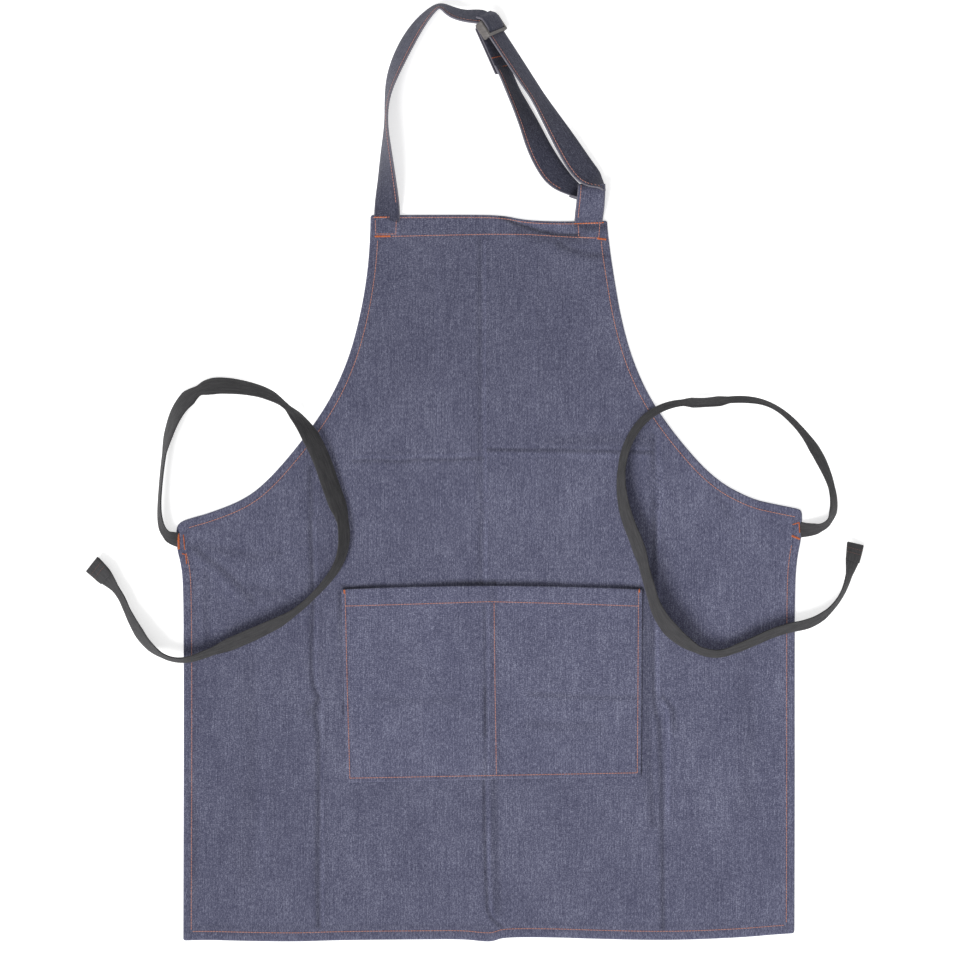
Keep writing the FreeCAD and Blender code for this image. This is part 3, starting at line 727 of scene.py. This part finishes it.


# A fold: its line, how far it stands up or sinks, its width, and its painted shade;
# a negative shade is a painted highlight.
PANEL_FOLDS = [
    ([(-9, 232), (-9, 60), (-8, -60), (-9, -112)], -0.8, 2.0, 0.20),
    ([(-3.5, 232), (-3.5, 60), (-2.5, -60), (-3, -112)], 0.8, 1.1, -0.22),
    ([(-50, 225), (-50, 60), (-51, -60)], 0.5, 1.4, -0.07),
    ([(46, 215), (46, 60), (45, -60)], 0.5, 1.4, -0.06),
    ([(-5, -306), (-4, -380), (-2, -436), (3, -446), (12, -453)], -1.2, 1.5, 0.42),
    ([(-1, -306), (0, -380), (2, -430), (4, -443)], 1.0, 0.9, -0.30),
    ([(5, -306), (7, -380), (9, -438)], -0.8, 4.0, 0.22),
    ([(-136, 12), (-112, 13), (-90, 11.5), (-62, 14), (-40, 13), (-6, 15)], -0.9, 1.8, 0.24),
    ([(-136, 16), (-90, 16.5), (-40, 18), (-4, 20)], 0.8, 2.2, -0.06),
    ([(0, 23.5), (60, 23), (110, 22), (162, 21)], -1.0, 1.8, 0.26),
    ([(0, 20), (60, 19), (110, 18), (162, 17)], 0.8, 2.2, -0.08),
    ([(66, 33), (120, 35), (160, 33)], -0.6, 6.0, 0.12),
    ([(-178, 5), (-178, -60), (-176, -128), (-178, -190), (-176, -212), (-170, -226),
      (-174, -240), (-170, -262), (-171, -400), (-170, -452)], -1.0, 2.4, 0.34),
    ([(-173, 5), (-173, -60), (-171, -128), (-172, -205), (-165, -228), (-166, -262),
      (-165, -400), (-165, -452)], 0.9, 2.0, -0.09),
    ([(-170, -226), (-178, -236), (-182, -243)], -0.9, 2.0, 0.30),
    ([(164, 39), (165, -60), (163, -128), (164, -222), (166, -238), (170, -250),
      (172, -300), (174, -455)], -1.1, 2.4, 0.34),
    ([(169, 39), (170, -60), (169, -160), (169, -222), (178, -236), (180, -262),
      (179, -340)], 1.0, 2.0, -0.24),
    ([(157, -120), (158, -200), (160, -290), (164, -350)], -0.7, 4.0, 0.20),
    ([(166, -222), (175, -226), (184, -236), (186, -256)], -0.9, 2.0, 0.30),
    ([(-281, -96), (-283, -130), (-281, -168)], -0.9, 3.0, 0.15),
    ([(-296, -74), (-272, -92), (-250, -112), (-236, -128)], -1.1, 3.0, 0.24),
    ([(-292, -86), (-270, -104), (-252, -126)], 0.9, 3.0, -0.10),
    ([(-290, -70), (-262, -78), (-232, -84), (-210, -80)], -0.8, 3.6, 0.14),
    ([(-240, -112), (-222, -120), (-206, -118)], -0.7, 3.5, 0.14),
    ([(226, -12), (232, -26), (240, -42)], -0.8, 3.0, 0.12),
    ([(12, 255), (26, 249), (50, 241), (70, 237), (90, 237)], -1.6, 1.9, 0.62),
    ([(26, 245), (52, 236), (74, 233), (96, 234)], -0.9, 5.0, 0.20),
    ([(16, 256), (32, 251), (60, 247), (84, 247)], 1.2, 2.4, -0.16),
    ([(70, 227), (88, 220), (104, 217), (116, 217)], -0.9, 3.4, 0.34),
    # Painted shadow on the panel at the foot of the tab, with a shallow dip.
    ([(84, 249), (98, 245), (114, 246)], -0.8, 4.5, 0.42),
    ([(-300, -300), (-292, -360), (-296, -420)], -0.6, 5.0, 0.08),
    ([(255, -180), (262, -260), (258, -330)], -0.5, 9.0, 0.07),
    ([(-240, -190), (-236, -280), (-242, -400)], -0.5, 9.0, 0.07),
    ([(-224, -60), (-222, -200), (-225, -380)], 0.4, 2.0, -0.08),
    # The next four lines are painted shadow on the panel along the pocket's mouth and sides, with a
    # shallow groove; the pocket's raised mouth casts some real shadow too.
    ([(-146, -115.0), (-70, -112.6), (0, -110.6), (6, -110.6)], -0.5, 1.7, 0.70),
    ([(6, -110.8), (80, -112.2), (152, -115.2)], -0.5, 1.2, 0.62),
    ([(-148, -118), (-146.5, -180), (-144, -240)], -0.5, 1.5, 0.45),
    ([(154, -118), (154, -200), (153, -304)], -0.5, 2.0, 0.30),
]
# The pocket's folds carry painted shade and painted highlights in the same way.
POCKET_FOLDS = [
    ([(-4.5, -130), (-4, -200), (-3.6, -304)], -0.9, 1.8, 0.22),
    ([(-4, -215), (-4, -262)], -0.7, 1.8, 0.34),
    ([(0, -130), (0.5, -200), (0.8, -300)], 0.8, 1.2, -0.16),
    ([(-60, -130), (-60, -300)], 0.3, 1.6, -0.06),
    ([(40, -220), (100, -223), (148, -224)], -0.7, 2.6, 0.14),
    ([(40, -249), (78, -251), (110, -250)], -0.7, 5.0, 0.10),
    ([(-120, -224), (-80, -226), (-30, -225)], -0.4, 4.0, 0.06),
]


def fold_heights(folds, x, y):
    """How far the folds lift each point, and the painted shade and highlight they give it."""
    lift = np.zeros(x.shape)
    tone = np.ones(x.shape)
    for line, rise, reach, shade in folds:
        weight = np.exp(-(distance_to(line, x, y) / reach) ** 2)
        lift += rise * weight
        tone *= 1 - shade * weight
    return lift, tone


def ripples(x, y, size, seed):
    """Soft random waves from about -1 to 1, with waves of this size in millimetres."""
    return np.array([noise.noise(Vector((a / size, b / size, seed)))
                     for a, b in zip(x.ravel(), y.ravel())]).reshape(x.shape) * 1.6


def spaced(start, stop, coarse, fine, spots):
    """Numbers from start to stop whose steps are fine near the spots and coarse elsewhere."""
    places = [start]
    while places[-1] < stop:
        near = min(abs(places[-1] - spot) for spot in spots)
        places.append(places[-1] + min(coarse, fine + 0.22 * near))
    places = np.array(places)
    return start + (places - start) * (stop - start) / (places[-1] - start)


print(len(PANEL_FOLDS), "folds on the panel,", len(POCKET_FOLDS), "on the pocket")

# %% Sheet from a grid


def sheet_piece(name, x, y, z, tone, roll):
    """A sheet from a grid of points, with its border rolled under on all four sides."""
    rows, columns = x.shape
    points = np.stack([x, y, z], -1).reshape(-1, 3)
    faces = [(r * columns + c, r * columns + c + 1, (r + 1) * columns + c + 1,
              (r + 1) * columns + c)
             for r in range(rows - 1) for c in range(columns - 1)]
    marks = tone.ravel()
    borders = [
        [r * columns for r in range(rows)],
        [(rows - 1) * columns + c for c in range(columns)],
        [r * columns + columns - 1 for r in reversed(range(rows))],
        [c for c in reversed(range(columns))],
    ]
    rings = []
    for border in borders:
        line = points[border][:, :2]
        along = np.gradient(line, axis=0)
        along /= np.hypot(*along.T)[:, None]
        outward = np.stack([along[:, 1], -along[:, 0]], -1)
        middle = points[:, :2].mean(0)
        if ((line[len(line) // 2] - middle) * outward[len(line) // 2]).sum() < 0:
            outward = -outward
        ring = [np.array(border)]
        for out, drop in roll:
            start = len(points)
            step = np.c_[line + outward * out, points[border][:, 2] + drop]
            points = np.r_[points, step]
            marks = np.r_[marks, marks[border]]
            ring.append(np.arange(start, start + len(border)))
        rings.append(ring)
        for inner, outer in zip(ring, ring[1:]):
            faces.extend((inner[i], inner[i + 1], outer[i + 1], outer[i])
                         for i in range(len(border) - 1))
    for k, ring in enumerate(rings):
        follower = rings[(k + 1) % 4]
        faces.append((ring[0][-1], ring[1][-1], follower[1][0]))
        for level in range(1, len(roll)):
            faces.append((ring[level][-1], ring[level + 1][-1],
                          follower[level + 1][0], follower[level][0]))
    piece = new_piece(name, points * MM, [tuple(int(i) for i in face) for face in faces])
    # The painted light and shade of each point is kept as a colour that the denim multiplies by.
    layer = piece.data.attributes.new("painted_light_and_shade", "FLOAT_COLOR", "POINT")
    layer.data.foreach_set("color", np.repeat(marks[:, None], 4, 1).astype(np.float32).ravel())
    return piece


CLOTH = 0.6
columns = spaced(-1.0, 1.0, 5.2 / 305, 1.6 / 305,
                 [spot / 305 for spot in (-305, -294, -176, -166, -4, 5, 166, 172, 178, 294, 305)])
levels = -spaced(-256.0, 466.0, 5.0, 1.1, (-256, -236, -26, -13, 30, 34, 37, 40, 48, 312, 456, 466))
left, right = left_edge(levels) + 0.85, right_edge(levels) - 0.85
share = (columns + 1) / 2
panel_x = left[:, None] + (right - left)[:, None] * share[None, :]
panel_y = np.repeat(levels[:, None], len(columns), 1)
panel_y += (top_edge(panel_x) - 256.85) * smooth((panel_y - 222) / 34)
panel_y += (hem_edge(panel_x) + 466.85) * smooth((-436 - panel_y) / 28)
print("panel grid:", panel_x.shape)

# %% Shape the panel
outline = np.r_[np.c_[left_edge(levels), levels], np.c_[right_edge(levels), levels][::-1]]
sides = np.minimum(distance_to([tuple(p) for p in outline[:len(levels)][::4]], panel_x, panel_y),
                   distance_to([tuple(p) for p in outline[len(levels):][::4]], panel_x, panel_y))
from_top = top_edge(panel_x) - panel_y
from_hem = panel_y - hem_edge(panel_x)
turned = np.maximum.reduce([1 - smooth((sides - 8.5) / 4.0), 1 - smooth((from_top - 19) / 4.0),
                            1 - smooth((from_hem - 11.5) / 4.0)])
folds, panel_painted_shade = fold_heights(PANEL_FOLDS, panel_x, panel_y)
inside = smooth((np.minimum.reduce([sides, from_top, from_hem]) - 1) / 14)
strap_feet = (smooth((17.5 - np.abs(panel_x + 102)) / 3) + smooth((18 - np.abs(panel_x - 99)) / 3))
panel_z = 1.40 + 0.62 * turned + folds * (0.35 + 0.65 * inside)
panel_z += 0.75 * strap_feet * smooth((panel_y - 236) / 4)
panel_z += ripples(panel_x, panel_y, 70, 3.0) * 0.45 * inside
panel_z += ripples(panel_x, panel_y, 17, 8.0) * 0.16
seam = np.exp(-((sides - 7.6) / 1.1) ** 2) * (panel_y > -470)
seam += np.exp(-((from_top - 20.5) / 1.1) ** 2) + np.exp(-((from_hem - 8.6) / 1.1) ** 2)
panel_z -= 0.28 * np.clip(seam, 0, 1)
panel_z = np.clip(panel_z, 0.75, 2.9)
panel_z[[0, -1], :] = 2.02
panel_z[0, :] += 0.75 * strap_feet[0, :]
panel_z[:, [0, -1]] = 2.02
# Painted shade in the seam grooves, then a painted fall of light: lighter to the right and darker
# up the bib.
panel_painted_shade *= 1 - 0.16 * np.clip(seam, 0, 1)
panel_painted_shade *= 1.0 + 0.06 * panel_x / 300 - 0.13 * smooth((panel_y + 60) / 240)
panel = sheet_piece("panel_cloth", panel_x, panel_y, panel_z, panel_painted_shade, EDGE_ROLL)
apply_modifier(panel, "SOLIDIFY", thickness=CLOTH * MM, offset=0.0)
tidy_faces(panel, 70)
print(panel.name, len(panel.data.polygons), "faces")

# %% [markdown]
# ## The pocket
# A patch pocket is a second, smaller sheet, hemmed at its mouth and sewn down at its
# sides, at its bottom and along a divider. Sewn edges hug the panel, and between them the
# cloth stands off it a little, most of all at the mouth, which throws a thin shadow.

# %% Shape the pocket
POCKET_ROLL = [(0.4, -0.18), (0.6, -0.55), (0.35, -0.95), (-0.2, -1.05), (-8.0, -1.05)]
DIVIDER = [(4.5, -118), (5.2, -200), (6.8, -304)]
POCKET_ROW = [(-143.2, -133.2), (-70, -131.0), (0, -128.8), (75, -130.6), (148.5, -133.2)]
columns = spaced(-146.5, 152.2, 4.6, 1.5, (-146.5, -143, -5, 5, 149, 152.2))
levels = -spaced(116.0, 305.5, 4.6, 1.5, (116, 131, 224, 250, 303, 305.5))
pocket_x, pocket_y = np.meshgrid(columns, levels)
depth = (-116.0 - pocket_y) / 189.5
middle = (pocket_x - 3.0) / 149.0
pocket_x = pocket_x + 5.0 * depth * np.clip(-middle, 0, 1) - 1.2 * depth * np.clip(middle, 0, 1)
pocket_y = pocket_y + (1 - depth) * (2.2 - 3.6 * middle ** 2) + depth * 3.1 * middle
divide = distance_to(DIVIDER, pocket_x, pocket_y)
edges = np.minimum(np.minimum(pocket_x - pocket_x[:, :1], pocket_x[:, -1:] - pocket_x),
                   divide)
from_mouth = pocket_y[0][None, :] - pocket_y
from_foot = pocket_y - pocket_y[-1][None, :]
open_part = smooth(edges / 42.0) * smooth(from_foot / 30.0)
mouth = 1 - smooth(from_mouth / 30.0)
folds, pocket_painted_shade = fold_heights(POCKET_FOLDS, pocket_x, pocket_y)
pocket_z = 3.15 + 0.9 * open_part + 1.5 * mouth * smooth(edges / 30.0) ** 0.7
pocket_z += 0.5 * (1 - smooth((from_mouth - 14.5) / 3.5)) + folds * smooth(from_foot / 10.0)
pocket_z += ripples(pocket_x, pocket_y, 45, 5.0) * 0.55 * open_part
pocket_z += ripples(pocket_x, pocket_y, 14, 6.0) * 0.16
row_gap = np.abs(pocket_y - np.interp(pocket_x, *np.array(POCKET_ROW).T))
seam = np.exp(-(row_gap / 1.2) ** 2) + np.exp(-((edges - 3.2) / 1.2) ** 2)
seam += np.exp(-((from_foot - 2.6) / 1.2) ** 2) + np.exp(-(divide / 1.4) ** 2)
pocket_z -= 0.32 * np.clip(seam, 0, 1)
pocket_z = np.maximum(pocket_z, 3.0)
# Painted shade in the seam grooves; the pocket is also made a little paler overall.
pocket_painted_shade *= 1.07 - 0.16 * np.clip(seam, 0, 1)
pocket = sheet_piece("pocket_cloth", pocket_x, pocket_y, pocket_z, pocket_painted_shade, POCKET_ROLL)
apply_modifier(pocket, "SOLIDIFY", thickness=CLOTH * MM, offset=0.0)
tidy_faces(pocket, 70)
print(pocket.name, len(pocket.data.polygons), "faces")

# %% The two sheets
for cloth, node in ((panel, "body_panel"), (pocket, "pocket_panel")):
    dress(cloth, denim_flat)
    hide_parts(node)

# %% [markdown]
# ## The seams of the panel and the pocket
# Each row is drawn as a line in x and y, a little inside its edge, and the stitches drop
# onto whatever cloth is under it. Straight rows could be typed in, but rows that follow
# an edge are read from the same edge as the panel, so that they stay parallel with it.

# %% Sew the panel and the pocket
STITCH_PITCH = 2.9
STITCH = {"length": 3.0 * MM, "width": 0.8 * MM, "height": 0.6 * MM}
cloth_tree = surface_of(panel, pocket)


def inside_edge(reader, top, bottom, inset, way):
    """A line that runs down inside a side edge, between two levels."""
    line = np.array([(reader(level), level) for level in np.arange(top, bottom, -1.0)])
    along = np.gradient(line, axis=0)
    along /= np.hypot(*along.T)[:, None]
    line = line + np.stack([along[:, 1], -along[:, 0]], -1) * inset * way
    return flat_line(*line)


def along_width(reader, left, right, inset):
    return flat_line(*[(x, reader(x) + inset) for x in np.arange(left, right, 2.0)])


seams = {
    "top_hem_upper": along_width(top_edge, -116, 116, -2.4),
    "top_hem_lower": flat_line((-97, 235.7), (-60, 236.6), (0, 237.8), (40, 237.6),
                               (75, 235.4), (107, 233.8)),
    "bottom_hem": along_width(hem_edge, -296, 297, 8.6),
    "armhole_left": inside_edge(left_edge, 232, -49, 7.6, -1),
    "armhole_right": inside_edge(right_edge, 232, -37.5, 7.6, 1),
    "side_left": inside_edge(left_edge, -82, -458, 7.8, -1),
    "side_right": inside_edge(right_edge, -74, -451, 7.8, 1),
    "pocket_hem": flat_line(*POCKET_ROW),
    "pocket_bottom": flat_line((-139, -304.9), (5, -302.2), (148, -299.6)),
    "pocket_left": flat_line((-143.6, -117), (-141.5, -210), (-138.8, -305)),
    "pocket_right": flat_line((149.2, -117), (148.6, -210), (148.0, -300)),
    "pocket_divider": flat_line(*[(x + 0.6, y) for x, y in
                                  ((4.5, -130), (5.2, -200), (6.8, -301))]),
}
for name, line in seams.items():
    spots = on_cloth(cloth_tree, line, STITCH_PITCH * MM, STITCH["length"])
    row = dress(stitches("stitches_" + name, spots, **STITCH), salmon_thread)
    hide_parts("thread_" + name)
    print(row.name, len(spots))

# %% [markdown]
# ## Bartacks
# Where a strap, a tie or a pocket corner is pulled hardest, the seam ends in a bartack:
# a close zigzag of bright thread. It is the same stitch, laid crosswise every half
# millimetre or so.

# %% Sew the bartacks


def bartack(name, line, width, pitch=0.75, lean=0.22):
    """Close crosswise stitches on a line, each a little aslant as a zigzag is."""
    spots = []
    for middle, along in even_places(line, pitch * MM):
        across = Vector((-along.y, along.x, 0))
        across = (across + along * lean * (1 if len(spots) % 2 else -1)).normalized()
        spots.extend(on_cloth(cloth_tree, [middle - across * width * MM / 2,
                                           middle + across * width * MM / 2],
                              width * MM, width * MM * 0.6))
    tack = stitches(name, spots, width * MM, 0.75 * MM, 0.9 * MM)
    return dress(tack, bright_thread)


for name, width, *corners in (
        ("strap", 2.4, (-114, 235.6), (-98, 235.9)),
        ("tab", 2.4, (108, 233.6), (117, 232.6)),
        ("tie_left", 2.8, (-310, -61), (-309.6, -77)),
        ("tie_right", 2.6, (302, -63), (310.5, -66.5)),
        ("pocket_left", 1.8, (-144.5, -117), (-144.3, -121)),
        ("pocket_right", 1.8, (150, -116), (150, -120))):
    tack = bartack("bartack_" + name, flat_line(*corners), width)
    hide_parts("bartack_" + name)
    print(tack.name, len(tack.data.polygons), "faces")

for name, corners in (
        ("tie_left_hook", ((-306.5, -81), (-302.6, -82), (-301.8, -91))),
        ("tie_right_box", ((303, -52), (309.5, -50), (310, -60))),
        ("tie_left_box", ((-305, -62), (-303.6, -77)))):
    small = bartack("bartack_" + name, flat_line(*corners), 1.5, 0.9, 0.5)
    print(small.name, len(small.data.polygons), "faces")

for name, line in (("strap_box", flat_line((-113.5, 252), (-113, 238), (-93, 238), (-92.5, 252))),
                   ("tab_box", flat_line((89, 247), (89.6, 235), (109.5, 234), (110.5, 247)))):
    spots = on_cloth(cloth_tree, line, STITCH_PITCH * MM, STITCH["length"])
    row = dress(stitches("stitches_" + name, spots, **STITCH), salmon_thread)
    print(row.name, len(spots))
for name, line in (("strap_base", flat_line((-114.5, 254.7), (-89.5, 255.0))),
                   ("tab_base", flat_line((85, 248.2), (115, 249.4)))):
    spots = on_cloth(cloth_tree, line, 2.7 * MM, 2.6 * MM)
    row = stitches("stitches_" + name, spots, 2.7 * MM, 1.2 * MM, 0.9 * MM)
    dress(row, bright_thread)
    print(row.name, len(spots))

# %% [markdown]
# ## The neck strap
# The strap is a strip of denim folded to 26 mm and stitched along one edge. It rises from
# the left corner of the bib, turns onto its edge, bends over at the top, goes through the
# buckle and down to a tab at the right corner, and comes back under itself to the buckle.
# It is the same kind of band as a tie. Its cut edges are frayed, so its cloth is paler
# there.

# %% Route of the strap
STRAP_THICKNESS = 2.0
NECK_STRAP = [
    (-102, 244, 0.3, 0, 26), (-101.8, 256, 0.3, 3, 26), (-101.5, 270, 0.3, 22, 26),
    (-101.5, 290, 0.3, 45, 26), (-102.3, 318, 0.3, 66, 26), (-102.6, 348, 0.3, 86, 26),
    (-101.3, 372, 0.3, 80, 26), (-96, 395, 0.3, 62, 26), (-86, 419, 0.3, 53, 26),
    (-74, 440, 0.3, 56, 26), (-61, 456, 0.3, 66, 26), (-49, 465.5, 0.4, 74, 26),
    (-37, 457.5, 1.6, 58, 26), (-25, 453.5, 3.6, 56, 26), (-12, 452.8, 5.2, 50, 26),
    (-3.5, 451.8, 5.4, 50, 26), (23.9, 410.0, 5.4, 51, 26), (39.4, 386.5, 5.4, 53, 26),
    (49, 372, 5.2, 55, 26), (63, 349, 4.8, 42, 26.5), (78, 325, 4.4, 27, 27),
    (92, 303, 4.0, 22, 28), (103, 292, 3.4, 28, 25), (112, 286, 2.8, 62, 17),
    (115.5, 279.5, 2.6, 86, 13), (108, 272, 2.6, 88, 12), (92, 271.5, 2.6, 88, 12),
    (80, 275.5, 2.2, 94, 13),
]
STRAP_RETURN = [
    (91, 279, 1.8, 155, 13), (80, 285, 1.4, 160, 20), (67, 295.5, 0.5, 168, 26),
    (56.5, 311, 0.3, 166, 26), (47.5, 328, 0.3, 154, 26), (40, 346, 0.3, 140, 26),
    (32, 363, 0.4, 130, 26), (23.5, 380, 0.4, 122, 26), (16.6, 397, 0.6, 122, 26),
    (12, 406, 1.0, 124, 26),
]


def strap_line(stops):
    """Middles, directions across and widths of a band whose low edge and lean are given."""
    flat = spline_points([(x, y, lift) for x, y, lift, _, _ in stops], 12)
    shape = spline_points([(lean, width, 0) for _, _, _, lean, width in stops], 12)
    centres = [Vector((spot.x, spot.y, middle_height(spot.z, form.x, form.y, STRAP_THICKNESS)))
               * MM for spot, form in zip(flat, shape)]
    return centres, leaning(centres, [form.x for form in shape]), [form.y * MM for form in shape]


def edge_stitches(name, centres, acrosses, widths, inset, first, last, thickness):
    """A row along one edge of a band, on both of its faces, between two shares of it."""
    alongs = directions(centres)
    spots = []
    left = 0.0
    for i in range(int(first * len(centres)), int(last * len(centres)) - 1):
        run = (centres[i + 1] - centres[i]).length
        while left < run:
            share = left / run
            across = acrosses[i].lerp(acrosses[i + 1], share).normalized()
            along = alongs[i].lerp(alongs[i + 1], share).normalized()
            face = across.cross(along).normalized()
            width = widths[i] + (widths[i + 1] - widths[i]) * share
            spot = centres[i].lerp(centres[i + 1], share) + across * (width / 2 - inset * MM)
            for way in (1, -1):
                spots.append((spot + face * (way * thickness / 2 * MM), along, face * way))
            left += STITCH_PITCH * MM
        left -= run
    return stitches(name, spots, STITCH["length"], 0.8 * MM, 0.55 * MM)


centres, acrosses, widths = strap_line(NECK_STRAP)
neck_strap = dress(band("neck_strap_cloth", centres, acrosses, widths, STRAP_THICKNESS * MM),
                   denim_band)
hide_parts("neck_strap")
row = edge_stitches("stitches_neck_strap", centres, acrosses, widths, 3.0, 0.06, 0.90,
                    STRAP_THICKNESS)
dress(row, salmon_thread)
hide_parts("thread_neck_strap")
print(neck_strap.name, len(neck_strap.data.polygons), "faces")

# %% The part of the strap that comes back
centres, acrosses, widths = strap_line(STRAP_RETURN)
strap_back = band("neck_strap_return_cloth", centres, acrosses, widths, STRAP_THICKNESS * MM)
# Darker denim on the return: painted shade.
strap_back.data.materials.append(denim_painted_shade)
back_row = edge_stitches("stitches_strap_return", centres, acrosses, widths, 3.0, 0.12, 0.97,
                         STRAP_THICKNESS)
back_row.data.materials.append(salmon_thread)
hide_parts("neck_strap_return")
for piece in (strap_back, back_row):
    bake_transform(piece)
print(strap_back.name, len(strap_back.data.polygons), "faces, bends as the buckle slides")

# %% [markdown]
# ## The tab
# A short strip is folded into a loop and sewn under the top hem, and the strap is
# gathered through it. Seen from the side it is a long drop shape, so its line is drawn in
# y and z and its width lies across the apron.

# %% Fold the tab
TAB_LINE = [(99, 246, 0.75), (99.5, 256, 0.9), (101, 266, 0.9), (101.6, 277, 0.9),
            (102, 285.6, 1.2), (102.2, 287.2, 8.5), (102, 285.0, 15.5), (101.6, 277, 16.6),
            (101, 267, 12.0), (100, 257, 5.5), (99.4, 250.6, 2.6), (99, 247, 1.9)]
centres = spline_points([(x * MM, y * MM, z * MM) for x, y, z in TAB_LINE])
tab_widths = [(28.5 - 0.05 * abs(point.y / MM - 262)) * MM for point in centres]
right = Vector((1, 0, 0))
tab = dress(band("tab_cloth", centres, [right] * len(centres), tab_widths, 1.4 * MM),
            denim_tab)
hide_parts("strap_tab")
tab_row = edge_stitches("stitches_tab", centres, [-right] * len(centres), tab_widths, 3.2,
                        0.55, 0.9, 1.4)
dress(tab_row, salmon_thread)
print(tab.name, len(tab.data.polygons), "faces")

# %% [markdown]
# ## The buckle
# A three-bar slider holds the strap at the length it is set to. Its two end bars lie over
# the strap and its middle bar under it. The CAD shape is right but its edges are sharp,
# and moulded nylon never has sharp edges, so a copy of it is cleaned and bevelled.

# %% Soften the buckle
only(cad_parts["slider"])
bpy.ops.object.duplicate()
buckle = bpy.context.object
buckle.name = "buckle_nylon"
buckle.data = buckle.data.copy()
for key in list(buckle.keys()):
    del buckle[key]
buckle.parent = None
bpy.ops.object.mode_set(mode="EDIT")
bpy.ops.mesh.select_all(action="SELECT")
bpy.ops.mesh.remove_doubles(threshold=0.00001)
bpy.ops.mesh.dissolve_limited(angle_limit=math.radians(3))
bpy.ops.object.mode_set(mode="OBJECT")
apply_modifier(buckle, "BEVEL", width=0.45 * MM, segments=2, limit_method="ANGLE",
               angle_limit=math.radians(35))
tidy_faces(buckle, 60)
dress(buckle, grey_nylon, "buckle")
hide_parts("slider")
print(buckle.name, len(buckle.data.polygons), "faces")

# %% [markdown]
# The strap humps up between the end bars to go over the middle one, and the sewn end of
# the strap is looped round that bar. Both travel with the buckle, so they are separate
# short bands that ride on it.

# %% Hump and sewn loop
BUCKLE_MIDDLE = Vector((2.6, 442.5, 16.0)) * MM
TRAVEL = Vector((0.5488, -0.8360, 0.0))
LEAN = math.radians(50)
sideways = TRAVEL.cross(Vector((0, 0, 1)))
across = sideways * math.cos(LEAN) + Vector((0, 0, 1)) * math.sin(LEAN)
outward = across.cross(TRAVEL)
HUMP = [(-15, 0.0), (-13.5, 0.6), (-12, 2.6), (-9.5, 4.4), (-5, 4.5), (0, 4.4), (2.5, 3.6),
        (5, 1.6), (7, 0.4), (9, 0.0)]
centres = spline_points([BUCKLE_MIDDLE + (TRAVEL * along + outward * rise) * MM
                         for along, rise in HUMP])
hump = band("strap_hump", centres, [across] * len(centres), [26.8 * MM] * len(centres),
            STRAP_THICKNESS * MM)
dress(hump, denim_band, "buckle")

END_LOOP = [(-4.0, 443.4, 1.4, 42, 26), (2.6, 429, 1.0, 42, 26), (15, 398, 0.5, 50, 26)]
middles, sides, widths = strap_line(END_LOOP)
alongs = directions(middles)
faces_out = [side.cross(along).normalized() for side, along in zip(sides, alongs)]
LAYER = 1.35
upper = [middle + face * LAYER * MM for middle, face in zip(middles, faces_out)]
lower = [middle - face * LAYER * MM for middle, face in zip(middles, faces_out)]
turn = [middles[0] - alongs[0] * LAYER * MM * 1.1]
centres = list(reversed(upper)) + turn + lower
loop_sides = list(reversed(sides)) + [sides[0]] + sides
loop = band("strap_end_loop_cloth", centres, loop_sides, [25.5 * MM] * len(centres), 1.5 * MM)
dress(loop, denim_band, "buckle")
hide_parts("strap_end_loop")
spots = []
last = len(middles) - 1
for back in (2, 6):
    for step in range(-4, 5):
        spot = middles[last - back] + sides[last - back] * (step * 2.7 * MM)
        face = faces_out[last - back]
        spots.append((spot + face * (LAYER + 0.75) * MM, sides[last - back], face))
end_row = stitches("stitches_strap_end", spots, 2.5 * MM, 0.9 * MM, 0.6 * MM)
dress(end_row, bright_thread, "buckle")
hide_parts("thread_strap_end")
print(hump.name, loop.name, end_row.name)

# %% [markdown]
# ## Table and light
# The apron lies on a plain pale table. One broad soft light to the lower left gives the
# folds a bright and a dark side, and a pale sky fills the rest, as in a small studio.

# %% Table, lamp and sky
TABLE_SIZE = 30.0
TABLE_DROP = 0.0004    # just under the apron, so that the two don't share a surface
TABLE_GLOW = 0.5
LAMP_STRENGTH = 2.6
LAMP_SPREAD = 28
SKY_STRENGTH = 0.52
bpy.ops.object.select_all(action="DESELECT")
bpy.ops.mesh.primitive_plane_add(size=TABLE_SIZE, location=(0, 0, -TABLE_DROP))
table = bpy.context.object
table.name = "table_top"
paper, shader = new_material("pale_table", 0.9)
shader.inputs["Base Color"].default_value = (0.93, 0.93, 0.93, 1.0)
shader.inputs["Emission Color"].default_value = (1.0, 1.0, 1.0, 1.0)
shader.inputs["Emission Strength"].default_value = TABLE_GLOW
table.data.materials.append(paper)

bpy.ops.object.light_add(type="SUN", rotation=(math.radians(40), math.radians(-34), 0))
lamp = bpy.context.object
lamp.name = "broad_lamp"
lamp.data.energy = LAMP_STRENGTH
lamp.data.angle = math.radians(LAMP_SPREAD)
sky = bpy.data.worlds.new("pale_sky")
sky.use_nodes = True
sky.node_tree.nodes["Background"].inputs["Color"].default_value = (1.0, 1.0, 1.0, 1.0)
sky.node_tree.nodes["Background"].inputs["Strength"].default_value = SKY_STRENGTH
bpy.context.scene.world = sky
bpy.context.scene.view_settings.view_transform = "Standard"
print("lamp", LAMP_STRENGTH, "sky", SKY_STRENGTH)
